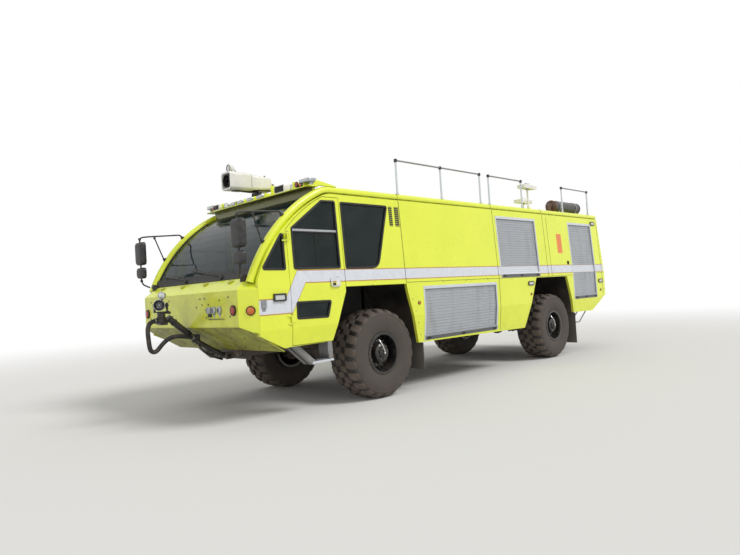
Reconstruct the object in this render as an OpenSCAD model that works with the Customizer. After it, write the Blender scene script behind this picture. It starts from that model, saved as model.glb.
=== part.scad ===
// Airport fire truck: a four-wheel crash tender with a panoramic cab, a locker body,
// a roof turret and a bumper monitor on a boom.
// Millimetres. +X forward, +Y left, +Z up. The origin lies on the ground below the middle.

/* [Vehicle] */
// Distance between the axles
wheelbase = 5160; // [4900:10:5600]
// Width over the body sides
body_w = 3050; // [3000:2:3100]
// Front axle to the flat front face of the nose
nose_reach = 2422; // [2400:2:2500]
// Rear axle to the rear face of the body
rear_reach = 2400; // [2350:10:2500]
// Front axle to the foremost point, the bend of the monitor's hose
hose_reach = 3020; // [3000:5:3040]
// Lower edge of the lockers
sill_z = 752; // [735:1:765]
// Fold where the sides begin to tuck in
fold_z = 1190; // [1150:5:1230]
// Fold where the sides begin to lean in
belt_z = 1720; // [1715:1:1740]
// Top edge of the side panels
eave_z = 3010; // [3000:2:3040]
// How far the sides tuck in at the lower edge
tuck = 52; // [40:1:60]
// How far the sides lean in at the top
lean = 70; // [60:1:75]
// Thickness of a side, door or end wall
wall = 50; // [44:1:56]
// Gap round a door or a panel
panel_gap = 8; // [8:0.5:10]

/* [Wheels] */
// Outer radius of a tyre over its lugs
tyre_r = 670; // [650:5:690]
// Width of a tyre
tyre_w = 585; // [560:5:600]
// Middle of a tyre from the middle of the vehicle
tyre_y = 1172; // [1165:1:1180]
// Radius of the rim's bead seat
rim_r = 292; // [285:1:300]
// Depth of the tread between the lugs
lug_h = 32; // [24:1:38]
// Number of lug pairs round a tyre
lug_count = 22; // [18:1:24]
// Width of the groove between two lugs
lug_gap = 60; // [45:5:75]
// Steering axis from the middle of the vehicle
kingpin_y = 940; // [936:1:944]
// Radius of a hub spindle
spindle_r = 75; // [65:1:85]
// Radius of an axle tube
axle_tube_r = 95; // [85:1:105]
// Radius of an axle's gear case
gear_case_r = 175; // [165:5:175]
// Length of a steering arm
steer_arm = 190; // [180:1:195]

/* [Cab] */
// Radius of the long bend of a pillar tube
pillar_bend = 2306; // [2290:2:2320]
// Centre of that bend ahead of the front axle
pillar_cx = 131; // [121:1:141]
// Centre of that bend below the roof tube
pillar_drop = 2136; // [2126:1:2146]
// Radius of the short bend into the roof tube
roof_bend = 500; // [450:10:560]
// Radius of the roof and pillar tubes
tube_r = 55; // [50:1:58]
// Roof tube inboard of the widest part of the side
tube_inset = 135; // [132:1:140]
// Height of the pillar tube's foot
pillar_foot_z = 1800; // [1790:2:1830]
// Thickness of the glass
glass_t = 10; // [8:1:12]
// Front edge of a door ahead of the front axle
door_front = 1745; // [1735:1:1755]
// Rear edge of a door ahead of the front axle
door_rear = 770; // [765:1:775]
// Lower edge of a door
door_low_z = 957; // [952:1:962]
// Upper edge of a door
door_top_z = 2962; // [2955:1:2965]
// Rear end of the cab behind the front axle
cab_rear = 490; // [485:1:495]
// Height of the cab floor
floor_z = 1040; // [1035:1:1050]
// Front corner of the body ahead of the front axle
corner_reach = 2240; // [2235:1:2245]
// Width of the flat front face
nose_face_w = 2680; // [2640:10:2720]
// Lower edge of the flat front face
nose_low_z = 1270; // [1250:5:1290]
// Height of the lower edge of the windscreen
screen_low_z = 1892; // [1885:1:1899]

/* [Body] */
// Rear wheel arch: top edge ahead of the rear axle
arch_front = 770; // [760:2:780]
// Rear wheel arch: top edge behind the rear axle
arch_rear = 530; // [520:2:540]
// Height of the top of the wheel arches
arch_z = 1696; // [1690:1:1704]
// Pitch of the slats in the roller shutters
slat_pitch = 46; // [40:1:60]
// Half the distance between the frame rails
rail_y = 430; // [420:2:440]
// Height of the underside of the frame rails
rail_z = 800; // [795:1:810]
// Height of a frame rail
rail_h = 195; // [185:1:200]

/* [Roof] */
// Height of the walkway railings above the roof tubes
railing_h = 545; // [500:5:600]
// Radius of a railing tube
railing_r = 17; // [14:1:20]
// Roof turret from the middle of the vehicle
turret_y = -330; // [-350:5:-300]
// Height of the turret's tilting axis
turret_z = 3462; // [3455:1:3475]
// Radius of the exhaust silencer
muffler_r = 135; // [120:5:145]

/* [Bumper monitor] */
// Direction of the monitor at rest, to the left of forward
monitor_turn = 60; // [50:5:65]
// Tilting axis of the monitor to the face of its nozzle
nozzle_len = 226; // [200:2:235]
// Radius of the nozzle
nozzle_r = 66; // [60:1:68]

/* [Hidden] */
$fn = 48;
half_w = body_w / 2;
// Fore and aft places are counted from the axles, and the origin is midway along the vehicle
fx = (wheelbase + rear_reach - hose_reach) / 2;
rx = fx - wheelbase;
nose_x = fx + nose_reach;
corner_x = fx + corner_reach;
rear_x = rx - rear_reach;
cab_x = fx - cab_rear;
axle_z = tyre_r;
seam = 2;
fit = 0.3;
run = 0.05;
tube_y = half_w - tube_inset;
tube_z = eave_z + tube_r;
pillar_z = tube_z - pillar_drop;
skin_levels = [400, fold_z, belt_z, 3300];

lime = [0.83, 0.90, 0.22];
lime_dark = [0.62, 0.68, 0.20];
black = [0.07, 0.07, 0.08];
steel = [0.62, 0.64, 0.66];
grey = [0.45, 0.47, 0.50];
white = [0.92, 0.92, 0.90];
amber = [0.95, 0.50, 0.10];
glass_tint = [0.12, 0.20, 0.24, 0.55];

// Outer face of the side at height z
function skin_y(z) = z < fold_z ? half_w - tuck * (fold_z - z) / (fold_z - sill_z)
    : z < belt_z ? half_w : half_w - lean * (z - belt_z) / (eave_z - belt_z);
// Section through a side wall whose outer face lies inset behind the skin
function skin_band(inset, t) = concat([for (z = skin_levels) [skin_y(z) - inset, z]],
    [for (i = [3:-1:0]) [skin_y(skin_levels[i]) - inset - t, skin_levels[i]]]);
// Section of the whole inside between the two sides, behind the skin by inset
function inside_section(inset) = concat([for (z = skin_levels) [skin_y(z) - inset, z]],
    [for (i = [3:-1:0]) [inset - skin_y(skin_levels[i]), skin_levels[i]]]);
function unit(v) = v / norm(v);
// Arc that rounds corner p between its neighbours a and b
function corner_arc(p, a, b, r, n) = let (u = unit(a - p), v = unit(b - p),
    half = acos(u * v) / 2, c = p + unit(u + v) * r / sin(half),
    s = p + u * r / tan(half) - c, e = p + v * r / tan(half) - c)
    [for (i = [0:n]) c + r * unit(s * (1 - i / n) + e * i / n)];
// Outline with every corner rounded to radius r
function rounded(pts, r, n = 4) = let (m = len(pts))
    [for (i = [0:m - 1]) each corner_arc(pts[i], pts[(i + m - 1) % m], pts[(i + 1) % m], r, n)];
// Points on a circle about the pillar's bend centre, from height z0 to height z1
function bend_arc(r, z0, z1, n = 10) = let (a0 = asin((z0 - pillar_z) / r),
    a1 = asin((z1 - pillar_z) / r))
    [for (i = [0:n]) let (a = a0 + (a1 - a0) * i / n)
        [fx + pillar_cx + r * cos(a), pillar_z + r * sin(a)]];

// Outline in X and Z pushed along Y from y0 to y1
module xz(y0, y1, pts) {
    translate([0, y1, 0]) rotate([90, 0, 0]) linear_extrude(y1 - y0) polygon(pts);
}
// Outline in Y and Z pushed along X from x0 to x1
module yz(x0, x1, pts) {
    translate([x0, 0, 0]) rotate([90, 0, 90]) linear_extrude(x1 - x0) polygon(pts);
}
// Outline in X and Y pushed up from z0 to z1
module xy(z0, z1, pts) {
    translate([0, 0, z0]) linear_extrude(z1 - z0) polygon(pts);
}
module box(lo, hi) {
    translate(lo) cube(hi - lo);
}
module both() {
    children();
    mirror([0, 1, 0]) children();
}
// Round bar from a to b
module bar(a, b, r) {
    v = b - a;
    translate(a) rotate([0, acos(v[2] / norm(v)), atan2(v[1], v[0])]) cylinder(h = norm(v), r = r);
}
// Cylinder along X, Y
module cyl_x(x0, x1, y, z, r) {
    translate([x0, y, z]) rotate([0, 90, 0]) cylinder(h = x1 - x0, r = r);
}
module cyl_y(x, y0, y1, z, r) {
    translate([x, y1, z]) rotate([90, 0, 0]) cylinder(h = y1 - y0, r = r);
}
// Wall of the left side with the given outline in X and Z
module side_wall(pts, inset = 0, t = wall) {
    intersection() {
        xz(half_w - 400, half_w + 50, pts);
        yz(rear_x - 100, nose_x + 100, skin_band(inset, t));
    }
}

// Frame and running gear

rail_front = fx + 1800;
rail_back = rear_x + 520;
rail_w = 90;
spring_w = 90;
spring_seat_z = axle_z + axle_tube_r;
tow_eye_r = 30;
tow_eye_t = 40;
tow_eye_z = rail_z + 38;
boom_pivot = [fx + 1850, 0, 800];
boom_gap = 160;

module frame_rail() {
    difference() {
        box([rail_back, rail_y - rail_w / 2, rail_z], [rail_front, rail_y + rail_w / 2, rail_z + rail_h]);
        box([rail_back - 1, rail_y - rail_w, rail_z + 12],
            [rail_front + 1, rail_y + rail_w / 2 - 12, rail_z + rail_h - 12]);
    }
}
// Leaf spring pack over an axle at x, as leaves that grow shorter downwards
module leaf_spring(x) {
    for (s = [-1, 1])
        box([x + s * 540 - 40, rail_y - spring_w / 2, rail_z - 14], [x + s * 540 + 40, rail_y + spring_w / 2, rail_z]);
    difference() {
        union() {
            for (i = [0:3])
                box([x - 560 + 110 * i, rail_y - spring_w / 2, rail_z - 6 - 8 * (i + 1)],
                    [x + 560 - 110 * i, rail_y + spring_w / 2, rail_z - 6 - 8 * i]);
            box([x - 70, rail_y - spring_w / 2, spring_seat_z - 30],
                [x + 70, rail_y + spring_w / 2, rail_z - 30]);
        }
        cyl_y(x, rail_y - spring_w, rail_y + spring_w, axle_z, axle_tube_r + fit);
    }
}
// Tow eye beyond the rail's end at x, towards s
module tow_eye(x, s) {
    y0 = rail_y - tow_eye_t / 2;
    y1 = rail_y + tow_eye_t / 2;
    difference() {
        union() {
            cyl_y(x + s * 62, y0, y1, tow_eye_z, tow_eye_r + 25);
            box([min(x, x + s * 62), y0, tow_eye_z - 45], [max(x, x + s * 62), y1, tow_eye_z + 45]);
        }
        cyl_y(x + s * 62, y0 - 1, y1 + 1, tow_eye_z, tow_eye_r);
    }
}
cross_x = [fx + 1480, fx + 700, fx - 700, fx - 2000, rx + 900, rx - 900, rail_back + 40];
module chassis() color(black) {
    both() {
        frame_rail();
        leaf_spring(fx);
        leaf_spring(rx);
        tow_eye(rail_front - 1, 1);
        tow_eye(rail_back + 1, -1);
    }
    for (x = cross_x)
        box([x - 40, -rail_y, rail_z + 30], [x + 40, rail_y, rail_z + rail_h - 12]);
    // Cross plate and ears that carry the boom
    box([rail_front - 12, -rail_y - rail_w / 2, rail_z - 40],
        [rail_front, rail_y + rail_w / 2, rail_z + rail_h]);
    for (s = [-1, 1])
        difference() {
            box([rail_front, s * boom_gap / 2 - 15 + s * 15, boom_pivot[2] - 45],
                [boom_pivot[0] + 45, s * boom_gap / 2 + 15 + s * 15, boom_pivot[2] + 45]);
            cyl_y(boom_pivot[0], -200, 200, boom_pivot[2], 20);
        }
}
// Gear case, drive pinion and tubes of an axle, up to half width w
module axle_beam(x, w, s) {
    cyl_y(x, -w, w, axle_z, axle_tube_r);
    intersection() {
        translate([x, 0, axle_z]) sphere(gear_case_r, $fn = 40);
        box([x - 300, -gear_case_r, axle_z - 300], [x + 300, gear_case_r, rail_z - 32]);
    }
    cyl_x(min(x, x + s * 330), max(x, x + s * 330), 0, axle_z + 20, 75);
}
fork_y = kingpin_y - 75;
fork_h = 165;
pin_r = 30;
module front_axle() color(black) {
    difference() {
        union() {
            axle_beam(fx, fork_y - 25, -1);
            both() {
                box([fx - 60, fork_y - 45, axle_z - fork_h], [fx + 60, fork_y, axle_z + fork_h]);
                for (s = [-1, 1])
                    translate([fx, 0, axle_z + s * (fork_h - 20) - 20]) {
                        box([-60, fork_y - 45, 0], [60, kingpin_y, 40]);
                        translate([0, kingpin_y, 0]) cylinder(h = 40, r = 60);
                    }
            }
        }
        both() translate([fx, kingpin_y, axle_z - fork_h - 10]) cylinder(h = 2 * fork_h + 20, r = pin_r + run);
    }
}
rear_flange_y = 1180;
module rear_axle() color(black) {
    axle_beam(rx, tyre_y - tyre_w / 2 - 30, 1);
    both() {
        cyl_y(rx, tyre_y - tyre_w / 2 - 30, rear_flange_y - 120, axle_z, 140);
        cyl_y(rx, rear_flange_y - 120, rear_flange_y + 150, axle_z, spindle_r);
    }
}
hub_y0 = rear_flange_y - 110;
hub_y1 = rear_flange_y + 160;
// Steering knuckle of the left wheel, with its king pin, spindle and arm
module knuckle() {
    translate([fx, kingpin_y, axle_z - fork_h + 3]) cylinder(h = 2 * fork_h - 6, r = pin_r);
    translate([fx, kingpin_y, axle_z - fork_h + 45]) cylinder(h = 2 * fork_h - 90, r = 62);
    cyl_y(fx, kingpin_y, kingpin_y + 110, axle_z, 110);
    cyl_y(fx, kingpin_y + 100, hub_y1 - 10, axle_z, spindle_r);
    difference() {
        union() {
            box([fx - steer_arm, kingpin_y - 22, axle_z - 90], [fx - 40, kingpin_y + 22, axle_z - 62]);
            translate([fx - steer_arm, kingpin_y, axle_z - 90]) cylinder(h = 28, r = 32);
        }
        translate([fx - steer_arm, kingpin_y, axle_z - 95]) cylinder(h = 40, r = 12 + run);
    }
}
module knuckle_left() color(black) knuckle();
module knuckle_right() color(black) mirror([0, 1, 0]) knuckle();
module tie_rod() color(steel) {
    for (s = [-1, 1])
        translate([fx - steer_arm, s * kingpin_y, 0]) {
            translate([0, 0, axle_z - 130]) cylinder(h = 38, r = 24);
            translate([0, 0, axle_z - 130]) cylinder(h = 72, r = 12);
        }
    bar([fx - steer_arm, -kingpin_y, axle_z - 112], [fx - steer_arm, kingpin_y, axle_z - 112], 17);
}

// Half section of the tyre: radius from the axle and share of the width across the tread
tread_r = tyre_r - lug_h;
tyre_half = [[rim_r, 0.37], [rim_r + 130, 0.5], [tread_r - 80, 0.5], [tyre_r - 34, 0.475], [tyre_r, 0.40]];
// Groove: its floor runs out and down over the shoulder
groove_half = [[tread_r + 6, 0.07], [tread_r - 52, 0.53], [tyre_r + 20, 0.53], [tyre_r + 20, 0.07]];
module tyre(x, s) {
    translate([x, s * tyre_y, axle_z]) rotate([90, 0, 0]) difference() {
        rotate_extrude($fn = tyre_fn) polygon(concat([for (p = tyre_half) [p[0], p[1] * tyre_w]],
            [for (i = [len(tyre_half) - 1:-1:0]) [tyre_half[i][0], -tyre_half[i][1] * tyre_w]]));
        for (i = [0:lug_count - 1], side = [-1, 1])
            rotate([90, 0, 360 * (i + side / 4) / lug_count]) linear_extrude(lug_gap, center = true)
                polygon([for (p = groove_half) [p[0], side * p[1] * tyre_w]]);
    }
}
tyre_fn = 28;
// Wheel rim: barrel, dished disc and hub, seen from its own side
rim_in_y = tyre_y - tyre_w * 0.5 + 5;
rim_out_y = tyre_y + tyre_w * 0.5 - 35;
disc_y = rear_flange_y + 60;
module rim(x, s) {
    scale([1, s, 1]) translate([x, 0, axle_z]) rotate([-90, 0, 0]) difference() {
        rotate_extrude($fn = 64) polygon([[spindle_r + run, hub_y0], [130, hub_y0], [150, hub_y0 + 30],
            [150, disc_y], [205, disc_y + 14], [rim_r - 22, disc_y - 40], [rim_r - 22, rim_in_y + 30],
            [rim_r - 14, rim_in_y], [rim_r + 26, rim_in_y], [rim_r + 26, rim_in_y + 12],
            [rim_r - fit, rim_in_y + 22], [rim_r - fit, rim_out_y - 22], [rim_r + 26, rim_out_y - 12],
            [rim_r + 26, rim_out_y], [rim_r - 14, rim_out_y], [rim_r - 22, rim_out_y - 30],
            [rim_r - 22, disc_y - 10], [205, disc_y + 44], [165, disc_y + 44], [150, disc_y + 70],
            [140, hub_y1 + 45], [115, hub_y1 + 60], [0, hub_y1 + 60], [0, hub_y1],
            [spindle_r + run, hub_y1]]);
    }
}
module tyre_front_left() color(black) tyre(fx, 1);
module tyre_front_right() color(black) tyre(fx, -1);
module tyre_rear_left() color(black) tyre(rx, 1);
module tyre_rear_right() color(black) tyre(rx, -1);
module rim_front_left() color(grey) rim(fx, 1);
module rim_front_right() color(grey) rim(fx, -1);
module rim_rear_left() color(grey) rim(rx, 1);
module rim_rear_right() color(grey) rim(rx, -1);

// Engine at the rear, as one plain block over its rails
floor_plate = 25;
module engine() color(grey)
    box([rear_x + 560, -440, rail_z + rail_h + floor_plate + fit], [rx - 700, 440, rail_z + rail_h + 1000]);

// Cab

glass_r = pillar_bend - 12;
door_arc_r = pillar_bend - 66;
// Door outline, smaller by gap all round; the hinge edge is at the front
function door_outline(g) = concat(
    [[fx + door_front - g, door_low_z + g], [fx + door_front - g, door_low_z + 600]],
    [for (p = bend_arc(door_arc_r - g, pillar_z + sqrt(pow(door_arc_r - g, 2)
        - pow(door_front - g - pillar_cx, 2)), door_top_z - g, 8)) p],
    [[fx + door_rear + g * 1.5, door_top_z - g], [fx + door_rear + g * 1.5, 1620 + g],
        [fx + 1044 + g, door_low_z + g]]);
door_window = [[fx + 1648, 2498], [fx + 1095, 2898], [fx + 850, 2905], [fx + 850, 1963], [fx + 1652, 1959]];
door_low_window = [[fx + 1650, 1519], [fx + 1064, 1513], [fx + 1131, 1295], [fx + 1651, 1305]];
quarter_window = [[fx + 1797, 2462], [fx + 2158, 1958], [fx + 1797, 1952]];
rear_window = [[fx + 740, 2897], [fx - 212, 2897], [fx + 44, 2090], [fx + 78, 2016], [fx + 136, 1970],
    [fx + 226, 1955], [fx + 740, 1955]];
window_round = 22;
frame_lap = 12;
// The pillar's long bend runs into the short bend at a_join, and that into the roof tube at top_x
bend_dz = tube_z - roof_bend - pillar_z;
bend_dx = sqrt(pow(pillar_bend - roof_bend, 2) - pow(bend_dz, 2));
a_join = atan2(bend_dz, bend_dx);
a_foot = asin((pillar_foot_z - pillar_z) / pillar_bend);
top_x = fx + pillar_cx + bend_dx;
collar = 15;
collar_h = 0.7;
// Front edge of the cab's side at height z: clear of the pillar tube where the side leans over it
function side_edge(z) = let (off = skin_y(z) - wall - tube_y, r = tube_r + 2 * fit,
    back = off < r ? sqrt(pow(r, 2) - pow(off, 2)) : 0)
    bend_arc(pillar_bend - max(edge_lap, back), z, z, 1)[0];
edge_lap = 20;
// Bend of the side's edge below the short bend of the tube, and where it meets the long bend
side_bend = roof_bend - tube_r - collar_h - fit;
join_z = tube_z - roof_bend + side_bend * sin(a_join);
side_outline = concat(
    [[corner_x - seam, 1125], [fx + 1861, 941], [fx + 1765, 949], [fx + 1044, door_low_z],
        [fx + door_rear, 1620], [fx + door_rear, arch_z], [cab_x + seam, arch_z],
        [cab_x + seam, eave_z - fit]],
    [for (i = [0:5]) let (a = 90 + (a_join - 90) * i / 5)
        [top_x + side_bend * cos(a), tube_z - roof_bend + side_bend * sin(a)]],
    [for (i = [1:14]) side_edge(join_z - (join_z - pillar_foot_z - 30) * i / 14)],
    [[corner_x - seam, belt_z]]);
// Bend of tube in the plane of the side, about a centre, between two angles
module tube_bend(x, z, bend, a0, a1) {
    translate([x, tube_y, z]) rotate([90, 0, 0]) rotate([0, 0, a0])
        rotate_extrude(angle = a1 - a0) translate([bend, 0]) circle(tube_r);
}
module pillar_tube() {
    tube_bend(fx + pillar_cx, pillar_z, pillar_bend, a_foot, a_join - 0.02);
    tube_bend(top_x, tube_z - roof_bend, roof_bend, a_join + 0.05, 89.95);
    cyl_x(rear_x + 100, top_x - 0.2, tube_y, tube_z, tube_r);
    // Weld collars over the two joints
    cyl_x(top_x - collar, top_x + collar, tube_y, tube_z, tube_r + collar_h);
    translate([fx + pillar_cx + pillar_bend * cos(a_join), tube_y, pillar_z + pillar_bend * sin(a_join)])
        rotate([0, -a_join, 0]) translate([0, 0, -collar])
            cylinder(h = 2 * collar, r = tube_r + collar_h);
}
module roof_tubes() color(lime) both() pillar_tube();
module cab_side() {
    difference() {
        union() {
            side_wall(side_outline);
            // Flange that closes the slot between the pillar tube and the side
            intersection() {
                xz(tube_y + 10, half_w, concat(bend_arc(pillar_bend - tube_r - 2 * fit, pillar_foot_z, 2950),
                    bend_arc(door_arc_r + 2, 2950, pillar_foot_z)));
                yz(fx, nose_x, [[tube_y, 1700], [half_w, 1700], [skin_y(1800) - wall + 5, 1800],
                    [skin_y(3000) - wall + 5, 3000], [tube_y, 3000]]);
            }
            side_wall([[fx + door_front + 5, 1800], [fx + door_front + 5, 2440], [fx + door_front + 60, 2440],
                [fx + 2120, 1900], [fx + 2120, 1800]], wall - 1, 12);
        }
        xz(half_w - 500, half_w + 100, door_outline(0));
        xz(half_w - 500, half_w + 100, rounded(quarter_window, window_round));
        xz(half_w - 500, half_w + 100, rounded(rear_window, window_round));
    }
    for (z = hinge_z) hinge_frame_half(z);
}
module cab_side_left() color(lime) cab_side();
module cab_side_right() color(lime) mirror([0, 1, 0]) cab_side();

// Door with two windows
module door() {
    difference() {
        side_wall(door_outline(panel_gap));
        xz(half_w - 500, half_w + 100, rounded(door_window, window_round));
        xz(half_w - 500, half_w + 100, rounded(door_low_window, window_round));
    }
    // Handle and grab recess
    box([fx + 900, half_w + 0, 1712], [fx + 1046, half_w + 22, 1822]);
    for (z = hinge_z) hinge_leaf(z, -1, run, [-hinge_h / 2, hinge_h / 2]);
}
// Door hinges: the pin stands just outside the widest part of the side
hinge_z = [1300, 2380];
hinge_h = 76;
hinge_r = 13;
hinge_pin_r = 6;
hinge_x = fx + door_front + panel_gap;
hinge_y = half_w + 15;
// Barrel at height z with a leaf towards s, from the skin to the pin, over the span h
module hinge_leaf(z, s, bore_r, h) {
    difference() {
        union() {
            translate([hinge_x, hinge_y, z + h[0]]) cylinder(h = h[1] - h[0], r = hinge_r);
            xy(z + h[0], z + h[1], [[hinge_x, hinge_y + 5], [hinge_x + s * 12, hinge_y + 5],
                [hinge_x + s * 62, skin_y(z + h[0]) + 6], [hinge_x + s * 62, skin_y(z + h[0]) - 6],
                [hinge_x + s * 16, skin_y(z + h[0]) - 6], [hinge_x + s * 12, hinge_y - 12],
                [hinge_x, hinge_y - 12]]);
        }
        translate([hinge_x, hinge_y, z + h[0] - 1]) cylinder(h = h[1] - h[0] + 2, r = hinge_pin_r + bore_r);
    }
}
module hinge_frame_half(z) {
    for (h = [[hinge_h / 2 + fit, hinge_h / 2 + 22], [-hinge_h / 2 - 22, -hinge_h / 2 - fit]])
        hinge_leaf(z, 1, -1, h);
    translate([hinge_x, hinge_y, z - hinge_h / 2 - 22]) cylinder(h = hinge_h + 44, r = hinge_pin_r);
}
module door_panes() {
    side_wall(rounded(door_window, window_round), 16, glass_t);
    side_wall(rounded(door_low_window, window_round), 16, glass_t);
}
module door_left() color(lime) door();
module door_right() color(lime) mirror([0, 1, 0]) door();
module door_left_glass() color(glass_tint) door_panes();
module door_right_glass() color(glass_tint) mirror([0, 1, 0]) door_panes();
module side_glass() color(glass_tint) both() {
    side_wall(rounded(quarter_window, window_round), 16, glass_t);
    side_wall(rounded(rear_window, window_round), 16, glass_t);
}
screen_top_z = 2985;
// Half width of the windscreen, whose edges meet the pillar tubes
glass_y = tube_y - sqrt(pow(tube_r, 2) - pow(pillar_bend - glass_r, 2)) - fit;
module windscreen() color(glass_tint)
    xz(-glass_y, glass_y,
        concat(bend_arc(glass_r, screen_low_z, screen_top_z), bend_arc(glass_r - glass_t, screen_top_z, screen_low_z)));

// Nose: flat face, two corner panels and a sloping top
nose_slope = (screen_low_z - belt_z) / (nose_x - (fx + pillar_cx + sqrt(pow(glass_r, 2)
    - pow(screen_low_z - pillar_z, 2))));
under_slope = 0.6166;
nose_back = corner_x - 30;
module nose_block(t) {
    intersection() {
        xy(900, 2100, [[corner_x, half_w - t], [nose_x - t, nose_face_w / 2 - t * 0.4],
            [nose_x - t, -nose_face_w / 2 + t * 0.4], [corner_x, -half_w + t],
            [nose_back - 200, -half_w + t], [nose_back - 200, half_w - t]]);
        xz(-half_w, half_w, [[nose_x + 100, nose_low_z + 0.01 + 100 * under_slope],
            [nose_x + 100, belt_z - t - 100 * nose_slope],
            [nose_back - 200, belt_z - t + (nose_x - nose_back + 200) * nose_slope],
            [nose_back - 200, nose_low_z - (nose_x - nose_back + 200) * under_slope]]);
        yz(nose_back - 300, nose_x + 200, [[half_w, 800], [half_w, belt_z - t],
            [half_w - 200, belt_z - t + 200 * nose_slope], [-half_w + 200, belt_z - t + 200 * nose_slope],
            [-half_w, belt_z - t], [-half_w, 800]]);
        both_corner_cut(t);
    }
}
// Slopes above the two corner panels
module both_corner_cut(t) {
    run_x = nose_x - corner_x;
    run_y = half_w - nose_face_w / 2;
    n = [run_y, run_x] / norm([run_y, run_x]);
    d = n * [nose_x, nose_face_w / 2];
    intersection_for (s = [-1, 1])
        scale([1, s, 1]) rotate([0, 0, atan2(n[1], n[0])])
            xz(-9000, 9000, [[d, 800], [d, belt_z - t], [d - 300, belt_z - t + 300 * nose_slope],
                [-9000, belt_z - t + 300 * nose_slope], [-9000, 800]]);
}
module nose() color(lime) {
    difference() {
        nose_block(0);
        nose_block(40);
        // Behind the corner seam the sides of the cab take over
        box([nose_back - 400, -2000, 800], [nose_back, 2000, 2200]);
        both() yz(nose_back - 1, corner_x, concat([for (z = skin_levels) [skin_y(z) - wall - fit, z]],
            [[half_w + 20, 3300], [half_w + 20, 400]]));
        // Pocket round the pillar tube's foot
        both() translate([fx + pillar_cx + pillar_bend * cos(a_foot), tube_y, pillar_foot_z])
            rotate([0, -a_foot - 1, 0]) translate([0, 0, -1.5]) cylinder(h = 300, r = tube_r + 0.8);
        xz(-2000, 2000, [[nose_back - 100, 600], [nose_x + 50, 600], [nose_x + 50, nose_low_z],
            [nose_x, nose_low_z], [nose_back - 100, nose_low_z - (nose_x - nose_back + 100) * under_slope]]);
    }
}
skid_back = fx + 1830;
skid_t = 14;
module skid_plate() color(lime_dark)
    intersection() {
        xz(-half_w, half_w, [[nose_x - 1, nose_low_z - 1], [nose_x - 1, nose_low_z - skid_t],
            [skid_back, nose_low_z - skid_t - (nose_x - skid_back) * under_slope],
            [skid_back, nose_low_z - 1 - (nose_x - skid_back) * under_slope]]);
        xy(600, 2000, [[corner_x, half_w], [nose_x, nose_face_w / 2], [nose_x, -nose_face_w / 2],
            [corner_x, -half_w], [skid_back - 50, -half_w], [skid_back - 50, half_w]]);
        yz(rear_x, nose_x + 10, inside_section(wall + 2));
    }

cab_in = wall + fit;
door_clear = 6;
well_y = 520;
well_z = arch_z;
module cab_floor() color(grey) {
    difference() {
        intersection() {
            // Foot well, its rear slope over the wheels and the raised rear floor
            xz(-half_w, half_w, [[fx + 1990, floor_z], [fx + 1990, floor_z - 25], [fx + 1044, floor_z - 25],
                [fx + door_rear + 2, well_z - 70], [fx + door_rear + 2, well_z], [cab_x + 30, well_z],
                [cab_x + 30, well_z + 25], [fx + door_rear + 27, well_z + 25],
                [fx + door_rear + 27, well_z - 60], [fx + 1060, floor_z]]);
            yz(rear_x, nose_x, inside_section(cab_in));
        }
        // Clear of the doors
        both() side_wall([[fx + door_rear - 10, 900], [fx + door_front + 10, 900],
            [fx + door_front + 10, 1800], [fx + door_rear - 10, 1800]], wall - 1, door_clear + 1);
    }
    // Tunnel between the wheels
    both() box([cab_x + 30, well_y - 20, floor_z - 25], [fx + 800, well_y, well_z]);
    box([cab_x + 30, -well_y, floor_z - 25], [fx + 1044, well_y, floor_z]);
    // Sills beside the steps
    both() box([fx + 1060, step_y + fit, door_low_z + 4], [fx + 1740, step_y + 12, floor_z - 25]);
}
module cab_rear_wall() color(lime)
    intersection() {
        box([cab_x + seam + 2, -half_w, well_z + 25 + fit], [cab_x + 42, half_w, eave_z - 24]);
        yz(rear_x, nose_x, inside_section(cab_in));
    }
deck_t = 45;
deck_z = eave_z - 15;
// Half width of the roof decks, which end against the roof tubes
deck_y = tube_y - sqrt(pow(tube_r, 2) - pow(tube_z - deck_z - deck_t, 2)) - fit;
// Half width of the cab roof where the tubes bend down beside it
roof_y = tube_y - tube_r - collar_h - fit;
roof_front = fx + 1120;
module cab_roof() color(lime) {
    xy(deck_z, deck_z + deck_t, [[cab_x + seam, deck_y], [top_x - 40, deck_y], [top_x - 20, roof_y],
        [roof_front, roof_y], [roof_front, -roof_y], [top_x - 20, -roof_y], [top_x - 40, -deck_y],
        [cab_x + seam, -deck_y]]);
    // Upstand that carries the light bar, and the seat of the turret
    box([roof_front - 40, -tube_y + tube_r + 2, eave_z + 20], [roof_front, tube_y - tube_r - 2, brow_z - 5]);
    translate([turret_x, turret_y, eave_z + 20]) cylinder(h = turret_base_z - eave_z - 20, r = 112);
}
brow_front = fx + 1228;
brow_back = fx + 1078;
brow_z = tube_z + 42;
module light_bar() color(lime) {
    // Shelf across the top of the windscreen
    xz(-tube_y - 20, tube_y + 20, [[brow_back, brow_z - 5 + fit], [brow_front, brow_z - 5 + fit],
        [brow_front + 12, brow_z + 16], [brow_front, brow_z + 24], [brow_back, brow_z + 16]]);
    both() xz(tube_y - 12, tube_y + 20, [[brow_back, brow_z + 16], [brow_front - 60, brow_z + 16],
        [brow_back + 25, brow_z + 92], [fx + 746, tube_z + 68], [fx + 740, tube_z + tube_r + 1],
        [brow_back, tube_z + tube_r + 1]]);
    for (lamp = brow_lamps)
        translate([0, brow_y(lamp), 0])
            box([brow_back + 30, -lamp[2] / 2, brow_z + 14], [brow_front - 14 + lamp[4], lamp[2] / 2, brow_z + 24 + lamp[3]]);
}
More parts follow.
